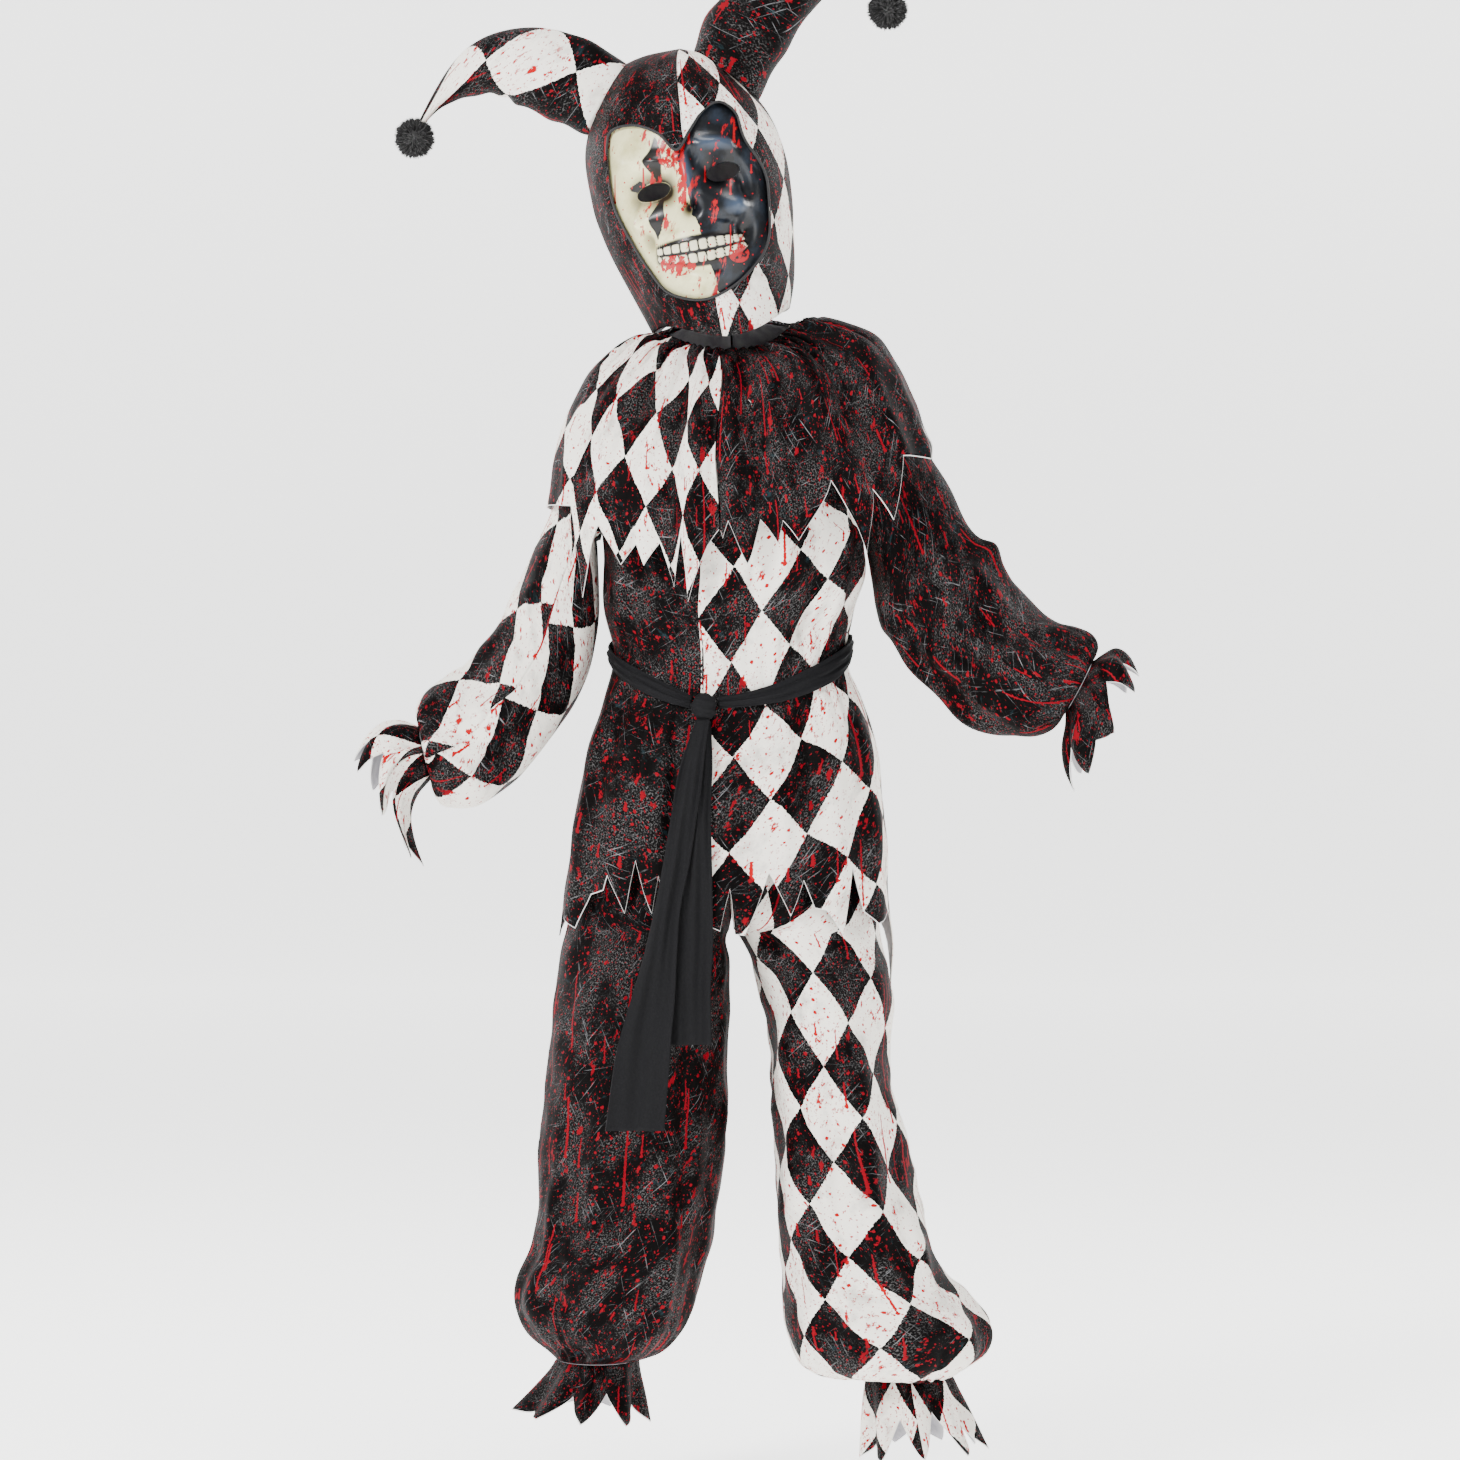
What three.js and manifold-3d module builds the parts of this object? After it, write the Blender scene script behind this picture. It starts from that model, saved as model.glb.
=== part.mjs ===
import * as THREE from "three";
import { mergeVertices } from "three/addons/utils/BufferGeometryUtils.js";
import Module from "manifold-3d";

// A child's jester costume as it is worn: a hood with two stuffed horns and a moulded mask, a tunic
// with a gathered cape, trousers with elastic ankles, and a tied sash.
// Millimetres, +Z up, the front towards -Y. Right and left are the wearer's, so right is -X.
// The origin is the middle of the neck opening.

const CLOTH = 1.5; // wall of one layer of cloth
const FRILL = 1.2; // wall of a frill, one layer with a raw edge
const SEAM = 0.35; // space left between two pieces at a seam
const MASK_WALL = 2.2;
const SASH = { wall: 3, clear: 1.2 };
const TAIL_WALL = 1.6;
const BODY_ROUND = 2.6; // 2 is an ellipse, more is squarer
const LEG_ROUND = 2.1;
const CAPE_ROUND = 2.6;
const ROUND = 2;
const TUNIC_FRONT_SEAM = -9.4; // degrees from the front towards the right
const CAPE_FRONT_SEAM = -4.4;
const BACK_SEAM = 180;
const TROUSER_SEAM_X = 6;
const ARMHOLE = { y: 50, z: 74, rightZ: -112, leftZ: -110 };
const POMPOM = { core: 13, reach: 21 };
const DEGREE = Math.PI / 180;
const SLOPE_STEP = 0.02; // step of the slopes that give a wall its normal, in rows and in radians

const wasm = await Module();
wasm.setup();

function table(columns, rows) {
  return rows.map((row) => Object.fromEntries(columns.map((name, i) => [name, row[i]])));
}

const LEVEL = [
  "rightX", "rightZ", "leftX", "leftZ", "frontY", "frontZ", "backY", "backZ",
];

// Each row is the cloth at one level: its outermost points at the right and left in x and z,
// and at the front and back in y and z.
const TUNIC = table(LEVEL, [
  [-62.3, 4, 70.3, 18, -49.3, -13, 49.3, 24],
  [-88, -11, 100, 2, -62, -28, 62, 8],
  [-108, -25, 122, -13, -76, -47, 76, -16],
  [-117, -41, 132, -31, -86, -68, 86, -42],
  [-120, -61, 134, -53, -91, -88, 92, -68],
  [-120, -91, 134, -85, -94, -110, 95, -98],
  [-119, -125, 133, -120, -95, -132, 96, -128],
  [-118, -160, 132, -158, -95, -162, 95, -162],
  [-117, -195, 132, -195, -94, -195, 94, -195],
  [-116, -226, 131, -226, -92, -226, 92, -226],
  [-114, -258, 122, -258, -89, -258, 90, -258],
  [-106, -292, 116, -288, -86, -300, 87, -284],
  [-107, -314, 117, -310, -88, -330, 88, -304],
  [-116, -345, 129, -342, -92, -352, 94, -338],
  [-129, -385, 143, -385, -101, -388, 104, -383],
  [-138, -430, 148, -430, -108, -430, 111, -430],
  [-146, -480, 152, -480, -113, -480, 116, -480],
  [-152, -530, 156, -530, -116, -530, 119, -530],
  [-159, -580, 158, -580, -117, -580, 121, -580],
  [-163, -640, 160, -640, -118, -640, 122, -640],
]);

const CAPE = table(LEVEL, [
  [-69, 4, 77, 20, -56, -12, 56, 27],
  [-93, -5, 112, 14, -66, -24, 67, 14],
  [-110, -16, 139, 5, -77, -42, 79, -8],
  [-127, -32, 157, -13, -88, -64, 91, -34],
  [-143, -59, 172, -41, -98, -90, 102, -66],
  [-156, -88, 186, -73, -105, -116, 109, -98],
  [-162, -117, 198, -103, -109, -141, 113, -128],
  [-167, -146, 209, -137, -111, -166, 115, -157],
  [-170, -176, 214, -166, -112, -192, 116, -188],
  [-172, -215, 217, -205, -112, -226, 116, -224],
  [-174, -265, 220, -255, -112, -268, 116, -266],
]);

const HOOD = table(LEVEL, [
  [-43.8, 276, -42.2, 276, -6.8, 276, -5.2, 276],
  [-76, 270, -14, 266, -44, 266, 36, 268],
  [-102, 254, 12, 248, -76, 246, 68, 252],
  [-120, 228, 34, 224, -99, 220, 96, 228],
  [-130, 195, 49, 200, -113, 194, 112, 198],
  [-132, 166, 59, 171, -120, 163, 118, 168],
  [-126, 126, 64, 138, -123, 128, 117, 134],
  [-115, 97, 66, 108, -121, 99, 110, 106],
  [-99, 62, 66, 76, -115, 64, 98, 79],
  [-83, 32, 65, 50, -106, 30, 84, 60],
  [-68, 4.4, 63, 29, -93, -4, 70, 44],
]);

// A trouser leg's level: its height, its outer and inner side in x, its front and back in y.
// Above the crotch the inner side lies past the centre seam, where the leg is cut off.
const LEG = ["z", "rightX", "leftX", "frontY", "backY"];

const LEG_RIGHT = table(LEG, [
  [-345, -107, 119, -86, 87],
  [-385, -121, 131, -93, 96],
  [-430, -131, 124, -100, 103],
  [-480, -136, 88, -98, 99],
  [-525, -142, 42, -98, 99],
  [-559, -148, 5, -98, 99],
  [-590, -156, 3, -101, 103],
  [-640, -162, 2, -98, 104],
  [-712, -171, 2, -93, 99],
  [-767, -175, -3, -90, 97],
  [-821, -176, -9, -88, 96],
  [-858, -182, -14, -88, 96],
  [-890, -196, -22, -87, 96],
  [-917, -197, -30, -85, 95],
  [-940, -185, -41, -80, 91],
  [-958, -166, -59, -66, 80],
  [-968, -160, -82, -42, 58],
]);

const LEG_LEFT = table(LEG, [
  [-345, -107, 119, -86, 87],
  [-385, -119, 133, -93, 96],
  [-430, -112, 139, -100, 103],
  [-480, -76, 140, -98, 99],
  [-525, -30, 143, -98, 99],
  [-559, 7, 147, -99, 99],
  [-585, 23, 152, -103, 101],
  [-617, 33, 155, -106, 102],
  [-669, 41, 155, -104, 96],
  [-719, 45, 160, -106, 90],
  [-785, 48, 177, -112, 83],
  [-821, 51, 187, -116, 79],
  [-876, 54, 203, -123, 72],
  [-902, 57, 226, -127, 68],
  [-931, 60, 250, -129, 63],
  [-955, 67, 246, -126, 58],
  [-972, 82, 226, -110, 46],
  [-978, 133, 214, -76, 6],
]);

// A sleeve's ring: its right and left edge in x and z, the depth of its middle, and half its depth.
const RING = ["rightX", "rightZ", "leftX", "leftZ", "y", "half"];

const SLEEVE_RIGHT = table(RING, [
  [-128, -44, -124, -192, 0, 50],
  [-138, -64, -122, -204, 0, 51],
  [-150, -97, -121, -215, 0, 51],
  [-159, -135, -120.5, -226, 1, 50],
  [-165, -165, -120.5, -240, 2, 48],
  [-187, -209, -120.5, -256, 3, 46],
  [-203, -238, -122, -280, 3, 46],
  [-217, -273, -128, -312, 2, 48],
  [-231, -293, -143, -344, 0, 50],
  [-245, -308, -159, -368, -5, 52],
  [-259, -314, -178, -395, -12, 52],
  [-267, -322, -200, -420, -20, 52],
  [-278, -332, -224, -438, -29, 50],
  [-287, -342, -248, -444, -37, 45],
  [-290, -353, -266, -440, -42, 35],
  [-287, -368, -276, -417, -45, 24],
]);

const SLEEVE_LEFT = table(RING, [
  [138, -190, 142, -44, 0, 50],
  [135.5, -198, 156, -52, 0, 51],
  [136, -205, 172, -70, 0, 51],
  [137, -212, 185, -92, 0, 50],
  [138, -220, 196, -114, 0, 49],
  [140, -234, 209, -139, -1, 48],
  [142, -254, 223, -163, -3, 48],
  [147, -274, 238, -188, -6, 50],
  [156, -286, 253, -198, -10, 52],
  [167, -298, 260, -216, -15, 53],
  [180, -313, 271, -232, -22, 54],
  [198, -334, 285, -248, -31, 54],
  [222, -357, 300, -262, -42, 54],
  [246, -372, 315, -270, -54, 52],
  [268, -378, 329, -275, -66, 48],
  [289, -376, 342, -281, -77, 42],
  [306, -368, 347, -292, -86, 34],
  [317, -353, 341, -307, -91, 26],
]);

// A frill from its elastic to its raw edge, in rings like a sleeve's.
const CUFF_FRILL_RIGHT = table(RING, [
  [-287.6, -367.8, -276.6, -416.8, -45, 24],
  [-304, -361, -289.5, -431, -49, 30],
  [-322.5, -363, -297, -451, -53, 36],
  [-338.5, -377, -295, -475, -56, 40],
  [-349, -399, -287, -501, -57, 41],
]);

const CUFF_FRILL_LEFT = table(RING, [
  [317.6, -353.2, 341.6, -307.2, -91, 26],
  [318, -366, 354, -299, -99, 34],
  [316, -386, 364, -296, -104, 42],
  [320, -406, 374, -304, -106, 47],
  [330, -424, 382, -322, -104, 47],
]);

const ANKLE_FRILL_RIGHT = table(RING, [
  [-160, -968.5, -82, -968.5, 8, 50],
  [-166, -980, -80, -982, 6, 54],
  [-180, -998, -76, -1002, 2, 62],
  [-198, -1018, -72, -1026, -4, 72],
]);

const ANKLE_FRILL_LEFT = table(RING, [
  [133, -978.5, 214, -978.5, -35, 41],
  [130, -994, 220, -992, -37, 48],
  [128, -1018, 230, -1014, -42, 56],
  [126, -1052, 244, -1046, -50, 66],
]);

// A stuffed horn: the middle of each ring and its radius.
const HORN = ["x", "y", "z", "radius"];

const HORN_RIGHT = table(HORN, [
  [-86, -4, 210, 34],
  [-117, -6, 231, 39],
  [-149, -8, 247, 42],
  [-185, -10, 258, 38],
  [-209, -11, 260, 32],
  [-229, -12, 256, 25],
  [-250, -13, 244, 17],
  [-267, -14, 230, 9.5],
  [-281, -14, 214, 4.5],
  [-289, -14, 201, 3],
]);

const HORN_LEFT = table(HORN, [
  [-14, -4, 218, 34],
  [1, -6, 250, 38],
  [18, -7, 286, 41],
  [41, -8, 317, 38],
  [67, -9, 341, 32],
  [94, -10, 354, 25],
  [118, -11, 353, 17],
  [136, -12, 343, 9.5],
  [146, -12, 331, 4.5],
  [151, -12, 321, 3],
]);

// The hood's face opening, seen from the front.
const FACE_OPENING = table(["x", "z"], [
  [-110, 176], [-105, 189], [-84, 191], [-62, 182], [-45, 166],
  [-33, 184], [-20, 205], [-5, 214], [10, 204], [18, 180], [36, 152],
  [41, 126], [40, 84], [22, 54], [-4, 34], [-28, 29], [-54, 38],
  [-72, 60], [-90, 90], [-104, 120], [-109, 150],
]);

const MASK = { x: -36, z: 116, lap: 1.09, inset: 3.6, eyeWidth: 15.5, eyeHeight: 8.5 };
const EYES = table(["x", "z"], [[-66, 129], [-2, 148]]);

// The forms of the mask: where each one is, how far it spreads, and how far it stands out.
const MASK_FORMS = table(["x", "z", "spreadX", "spreadZ", "out"], [
  [-66, 130, 20, 14, -9],
  [-2, 149, 20, 14, -9],
  [-70, 156, 22, 8, 5],
  [-8, 174, 22, 8, 5],
  [-36, 140, 9, 22, 7],
  [-33, 112, 8, 9, -7],
  [-78, 98, 12, 10, 6],
  [14, 114, 12, 10, 6],
  [-68, 76, 12, 12, -6],
  [12, 88, 12, 12, -6],
  [-27, 74, 34, 15, 7],
  [-22, 44, 22, 10, 6],
]);

// The cape's and tunic's raw hems: their points seen from the front, or through from the front at the back.
const HEM = ["x", "z"];

const CAPE_HEM_RIGHT_FRONT = table(HEM, [
  [-6, -185], [-16, -200], [-34, -252], [-40, -190], [-47, -238], [-60, -197],
  [-74, -218], [-81, -198], [-97, -217], [-116, -180], [-133, -247], [-143, -161], [-163, -159],
]);
const CAPE_HEM_RIGHT_BACK = table(HEM, [
  [-165, -160], [-156, -144], [-140, -222], [-122, -172], [-104, -232], [-84, -186],
  [-64, -224], [-44, -190], [-26, -246], [-8, -192],
]);
const CAPE_HEM_LEFT_FRONT = table(HEM, [
  [-5, -186], [-2, -193], [3, -177], [21, -217], [33, -176], [49, -198], [53, -177],
  [68, -195], [97, -139], [131, -206], [134, -147], [157, -175], [161, -115], [190, -116], [184, -82],
]);
const CAPE_HEM_LEFT_BACK = table(HEM, [
  [196, -128], [184, -104], [160, -186], [142, -138], [122, -214], [100, -168],
  [78, -236], [56, -182], [34, -226], [16, -186], [2, -232], [-7, -192],
]);
const TUNIC_HEM_RIGHT_FRONT = table(HEM, [
  [-14, -536], [-32, -530], [-50, -548], [-60, -506], [-66, -541], [-74, -520], [-82, -492],
  [-93, -541], [-106, -506], [-112, -520], [-126, -524], [-140, -556], [-149, -534],
]);
const TUNIC_HEM_RIGHT_BACK = table(HEM, [
  [-150, -566], [-134, -528], [-112, -570], [-90, -526], [-66, -576], [-44, -530], [-22, -568], [-2, -534],
]);
const TUNIC_HEM_LEFT_FRONT = table(HEM, [
  [-13, -538], [-5, -557], [4, -518], [9, -560], [18, -561], [40, -503], [60, -543],
  [73, -510], [83, -536], [93, -538], [108, -562], [118, -498], [130, -540], [142, -552], [150, -536],
]);
const TUNIC_HEM_LEFT_BACK = table(HEM, [
  [154, -632], [142, -540], [120, -574], [98, -530], [76, -578], [54, -528], [30, -566], [8, -534],
]);

// Large soft folds: where round the ring, between which rows, how wide in degrees and how high.
const FOLD = ["turn", "from", "to", "width", "height"];

const TUNIC_FOLDS = table(FOLD, [
  [-52, 6, 11, 9, 5], [-22, 7, 11.5, 8, 3.5], [24, 6, 11.5, 8, 4], [52, 5, 11, 8, 6], [70, 6, 11, 6, 5],
  [112, 6, 11, 9, 5], [150, 6, 11, 9, 5], [-150, 6, 11, 9, 5], [-115, 6, 11, 9, 5],
  [-68, 12, 19, 8, 6], [-40, 12, 18, 8, 5], [-20, 12, 19, 7, 4], [14, 12, 18, 7, 4], [36, 12, 19, 8, 6],
  [64, 12, 19, 8, 6], [105, 12, 19, 9, 6], [140, 12, 19, 9, 6], [172, 12, 19, 9, 5], [-140, 12, 19, 9, 6],
]);
const CAPE_FOLDS = table(FOLD, [
  [-62, 2, 10, 6, 5], [-42, 1, 10, 5, 4], [-24, 1, 10, 4, 4], [-12, 1, 10, 4, 3], [6, 1, 10, 4, 4],
  [18, 1, 10, 4, 4], [32, 1, 10, 5, 5], [50, 1, 10, 6, 6], [70, 2, 10, 6, 5], [110, 2, 10, 7, 5],
  [134, 1, 10, 6, 5], [154, 1, 10, 5, 4], [172, 1, 10, 5, 4], [-166, 1, 10, 5, 4], [-146, 1, 10, 6, 5],
  [-122, 2, 10, 7, 5],
]);
const LEG_RIGHT_FOLDS = table(FOLD, [
  [34, 7, 16, 11, 8], [-14, 8, 16, 10, 5], [-52, 7, 15, 10, 5], [-80, 10, 16, 9, 5],
  [72, 6, 14, 9, 4], [140, 6, 16, 12, 7], [-170, 6, 16, 10, 6], [-125, 6, 16, 11, 6],
]);
const LEG_LEFT_FOLDS = table(FOLD, [
  [-52, 7, 16, 9, 6], [-18, 8, 17, 9, 7], [14, 9, 17, 9, 6], [48, 10, 17, 10, 7], [78, 12, 17, 8, 5],
  [125, 6, 17, 12, 7], [165, 6, 17, 10, 6], [-140, 6, 17, 11, 6],
]);
const SLEEVE_RIGHT_FOLDS = table(FOLD, [
  [-70, 6, 10, 16, 5], [-30, 5, 11, 14, 4], [10, 7, 14, 14, 5], [55, 6, 13, 14, 6], [130, 5, 13, 18, 6],
  [-140, 6, 13, 18, 6],
]);
const SLEEVE_LEFT_FOLDS = table(FOLD, [
  [70, 6, 10, 14, 7], [35, 6, 13, 12, 6], [0, 7, 15, 12, 5], [-35, 7, 15, 12, 6], [-75, 8, 15, 14, 5],
  [130, 6, 14, 18, 6], [-130, 6, 14, 18, 6],
]);

// One value between the rows of a table, on a cubic through them.
function between(rows, name, row) {
  const last = rows.length - 1;
  const i = Math.min(Math.max(Math.floor(row), 0), last - 1);
  const t = row - i;
  const value = (k) => rows[Math.min(Math.max(k, 0), last)][name];
  const before = value(i - 1);
  const here = value(i);
  const next = value(i + 1);
  const after = value(i + 2);
  const bend = 3 * (here - next) + after - before;
  return here + 0.5 * t * (next - before + t * (2 * before - 5 * here + 4 * next - after + t * bend));
}

// The height of the folds: each is a bell round the ring and fades out at both its ends.
function foldHeight(folds, row, turn) {
  let height = 0;
  for (const fold of folds) {
    if (row <= fold.from || row >= fold.to) continue;
    const along = (row - fold.from) / (fold.to - fold.from);
    const away = THREE.MathUtils.euclideanModulo(turn / DEGREE - fold.turn + 180, 360) - 180;
    height += fold.height * Math.sin(Math.PI * along) * Math.exp(-((away / fold.width) ** 2));
  }
  return height;
}

const rounded = (value, roundness) => Math.sign(value) * Math.abs(value) ** (2 / roundness);

// A tube of cloth: at(row, turn) is a point on its outer face. The turn is 0 at the front, 90 degrees
// at the wearer's left, 180 at the back and -90 at the right.
function tube(rows, roundness, folds = []) {
  const has = (name) => name in rows[0];
  const read = (name, row) => between(rows, name, row);
  function ring(row) {
    const rightX = read("rightX", row);
    const leftX = read("leftX", row);
    const level = has("z") ? read("z", row) : 0;
    const rightZ = has("z") ? level : read("rightZ", row);
    const leftZ = has("z") ? level : read("leftZ", row);
    const middleZ = (rightZ + leftZ) / 2;
    const frontY = has("half") ? read("y", row) - read("half", row) : read("frontY", row);
    const backY = has("half") ? read("y", row) + read("half", row) : read("backY", row);
    const frontZ = has("frontZ") ? read("frontZ", row) : middleZ;
    const backZ = has("backZ") ? read("backZ", row) : middleZ;
    return { rightX, leftX, rightZ, leftZ, frontY, backY, frontZ, backZ };
  }
  function at(row, turn) {
    const r = ring(row);
    const s = Math.sin(turn);
    const c = Math.cos(turn);
    const side = has("half") ? s : s * s;
    const x = (r.rightX + r.leftX) / 2 + ((r.leftX - r.rightX) / 2) * rounded(s, roundness);
    const y = (r.frontY + r.backY) / 2 - ((r.backY - r.frontY) / 2) * rounded(c, roundness);
    const level = (r.rightZ * (1 - s) + r.leftZ * (1 + s)) / 2;
    const middle = (r.frontZ * (1 + c) + r.backZ * (1 - c)) / 2;
    const z = has("half") ? level : level * side + middle * c * c;
    const point = new THREE.Vector3(x, y, z);
    const centre = new THREE.Vector3(
      (r.rightX + r.leftX) / 2,
      (r.frontY + r.backY) / 2,
      has("half") ? (r.rightZ + r.leftZ) / 2 : z,
    );
    return point.addScaledVector(point.clone().sub(centre).normalize(), foldHeight(folds, row, turn));
  }
  return { rows, roundness, ring, at, last: rows.length - 1 };
}

// The direction out of the cloth, from its slopes along and round the tube.
function outward(surface, row, turn) {
  const down = surface.at(row + SLOPE_STEP, turn).sub(surface.at(row - SLOPE_STEP, turn));
  const round = surface.at(row, turn + SLOPE_STEP).sub(surface.at(row, turn - SLOPE_STEP));
  return down.cross(round).normalize();
}

// The row at which the tube passes a height, where turnAt gives the turn that is looked along.
function rowAt(surface, height, turnAt) {
  let above = 0;
  let below = surface.last;
  for (let step = 0; step < 40; step++) {
    const middle = (above + below) / 2;
    if (surface.at(middle, turnAt(middle)).z > height) above = middle;
    else below = middle;
  }
  return (above + below) / 2;
}

// The place on the tube that is seen at x and z from the front, or at the back behind it.
function seenAt(surface, x, z, atBack = false) {
  const turnAt = (row) => {
    const r = surface.ring(row);
    const across = (x - (r.rightX + r.leftX) / 2) / ((r.leftX - r.rightX) / 2);
    const kept = THREE.MathUtils.clamp(across, -0.992, 0.992);
    const turn = Math.asin(Math.sign(kept) * Math.abs(kept) ** (surface.roundness / 2));
    return atBack ? Math.PI - turn : turn;
  };
  const row = rowAt(surface, z, turnAt);
  return { row, turn: turnAt(row) };
}

function geometryFrom(points, faces) {
  const positions = points.flatMap((p) => [p.x, p.y, p.z]);
  const volume = faces.reduce(
    (sum, [a, b, c]) => sum + points[a].dot(points[b].clone().cross(points[c])),
    0,
  );
  const turned = volume < 0 ? faces.map(([a, b, c]) => [a, c, b]) : faces;
  const geometry = new THREE.BufferGeometry();
  geometry.setAttribute("position", new THREE.Float32BufferAttribute(positions, 3));
  geometry.setIndex(turned.flat());
  return geometry;
}

// A wall between two grids of points, with its edges closed. The columns may close round.
function wallBetween(outer, inner, closed) {
  const lastRow = outer.length - 1;
  const columns = outer[0].length;
  const lastColumn = columns - 1;
  const points = [...outer.flat(), ...inner.flat()];
  const out = (i, j) => i * columns + (j % columns);
  const within = (i, j) => out(i, j) + points.length / 2;
  const faces = [];
  const quad = (a, b, c, d) => faces.push([a, b, c], [a, c, d]);
  const spans = closed ? columns : lastColumn;
  for (let j = 0; j < spans; j++) {
    for (let i = 0; i < lastRow; i++) {
      quad(out(i, j), out(i + 1, j), out(i + 1, j + 1), out(i, j + 1));
      quad(within(i, j), within(i, j + 1), within(i + 1, j + 1), within(i + 1, j));
    }
    quad(out(0, j), out(0, j + 1), within(0, j + 1), within(0, j));
    quad(out(lastRow, j + 1), out(lastRow, j), within(lastRow, j), within(lastRow, j + 1));
  }
  if (!closed) {
    for (let i = 0; i < lastRow; i++) {
      quad(out(i + 1, 0), out(i, 0), within(i, 0), within(i + 1, 0));
      quad(
        out(i, lastColumn),
        out(i + 1, lastColumn),
        within(i + 1, lastColumn),
        within(i, lastColumn),
      );
    }
  }
  return geometryFrom(points, faces);
}

// A wall of cloth on a tube. places is a grid of { row, turn, lift }: where each point lies on the
// tube, and how far it stands out from it.
function clothWall(surface, places, thickness, closed = false) {
  const face = (depth) =>
    places.map((line) =>
      line.map(({ row, turn, lift = 0 }) =>
        surface.at(row, turn).addScaledVector(outward(surface, row, turn), lift - depth),
      ),
    );
  return wallBetween(face(0), face(thickness), closed);
}

// A closed solid through rings of points, with a point in the middle of each end.
function solidThrough(rings) {
  const points = rings.flat();
  const count = rings[0].length;
  const middle = (ring) => ring.reduce((sum, p) => sum.add(p), new THREE.Vector3()).divideScalar(count);
  const first = points.push(middle(rings[0])) - 1;
  const end = points.push(middle(rings.at(-1))) - 1;
  const at = (i, j) => i * count + (j % count);
  const faces = [];
  for (let j = 0; j < count; j++) {
    for (let i = 0; i < rings.length - 1; i++) {
      faces.push([at(i, j), at(i + 1, j), at(i + 1, j + 1)], [at(i, j), at(i + 1, j + 1), at(i, j + 1)]);
    }
    faces.push([first, at(0, j), at(0, j + 1)]);
    faces.push([end, at(rings.length - 1, j + 1), at(rings.length - 1, j)]);
  }
  return geometryFrom(points, faces);
}

function manifoldOf(geometry) {
  const bare = new THREE.BufferGeometry();
  bare.setAttribute("position", geometry.getAttribute("position"));
  bare.setIndex(geometry.getIndex());
  const merged = mergeVertices(bare, 1e-4);
  return new wasm.Manifold(
    new wasm.Mesh({
      numProp: 3,
      vertProperties: merged.attributes.position.array,
      triVerts: new Uint32Array(merged.index.array),
    }),
  );
}

function geometryOf(manifold) {
  const mesh = manifold.getMesh();
  const geometry = new THREE.BufferGeometry();
  geometry.setAttribute("position", new THREE.Float32BufferAttribute(mesh.vertProperties, 3));
  geometry.setIndex([...mesh.triVerts]);
  return geometry;
}

const costume = new THREE.Group();

function add(name, geometry, colour, roughness) {
  const material = new THREE.MeshStandardMaterial({ color: colour, roughness, metalness: 0 });
  const mesh = new THREE.Mesh(geometry, material);
  mesh.name = name;
  costume.add(mesh);
}

const BLACK_PRINT = 0x262221;
const DIAMOND_PRINT = 0xb9b3aa;
const SASH_BLACK = 0x1f1e22;
const POMPOM_BLACK = 0x0c0b0c;
const CLOTH_ROUGHNESS = 0.85;

const spread = (from, to, count) =>
  Array.from({ length: count + 1 }, (_, i) => from + ((to - from) * i) / count);

const tunic = tube(TUNIC, BODY_ROUND, TUNIC_FOLDS);
const cape = tube(CAPE, CAPE_ROUND, CAPE_FOLDS);
const hood = tube(HOOD, ROUND);

// A hem as columns from the front seam to the back seam: its points and one more between each two.
// side is -1 on the right half and 1 on the left.
function hemColumns(surface, frontHem, backHem, side) {
  const behind = ({ row, turn }) => ({ row, turn: side < 0 ? turn - 2 * Math.PI : turn });
  const points = [
    ...frontHem.map(({ x, z }) => seenAt(surface, x, z)),
    ...backHem.map(({ x, z }) => behind(seenAt(surface, x, z, true))),
  ];
  return points.flatMap((point, i) => {
    if (i === 0) return [point];
    const before = points[i - 1];
    return [{ row: (point.row + before.row) / 2, turn: (point.turn + before.turn) / 2 }, point];
  });
}

// Cape: each half runs from the front seam over the shoulder to the back seam. Its neck is drawn in
// on elastic, so that every second column stands out there.
const CAPE_LEVELS = [0, 0.13, 0.29, 0.46, 0.65, 0.83, 1];
const GATHER = 1.7;
const GATHER_END = 0.45;

function capeHalf(frontHem, backHem, side) {
  const seamGap = (side * SEAM) / 60;
  const hem = hemColumns(cape, frontHem, backHem, side);
  hem[0].turn = CAPE_FRONT_SEAM * DEGREE + seamGap;
  hem.at(-1).turn = side * BACK_SEAM * DEGREE - seamGap;
  const places = CAPE_LEVELS.map((level) =>
    hem.map(({ row, turn }, j) => {
      const left = Math.max(0, 1 - (level * row) / (GATHER_END * cape.last));
      return { row: level * row, turn, lift: (j % 2 ? GATHER : -GATHER) * left };
    }),
  );
  return clothWall(cape, places, CLOTH);
}

add("cape_right", capeHalf(CAPE_HEM_RIGHT_FRONT, CAPE_HEM_RIGHT_BACK, -1), DIAMOND_PRINT, CLOTH_ROUGHNESS);
add("cape_left", capeHalf(CAPE_HEM_LEFT_FRONT, CAPE_HEM_LEFT_BACK, 1), BLACK_PRINT, CLOTH_ROUGHNESS);

// Tunic: four panels from the neck to a zigzag hem. The side edges leave a round armhole.
const TUNIC_ROWS_ABOVE = [0, 1.2];
const TUNIC_ROWS_BELOW = [8.4, 9.7, 11, 12, 13, 14.3, 15.6];
const ARMHOLE_ROWS = 5;
const TUNIC_HEM_LEVELS = [0.5, 1];

const sideTurn = (side) => (side * Math.PI) / 2;

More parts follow.
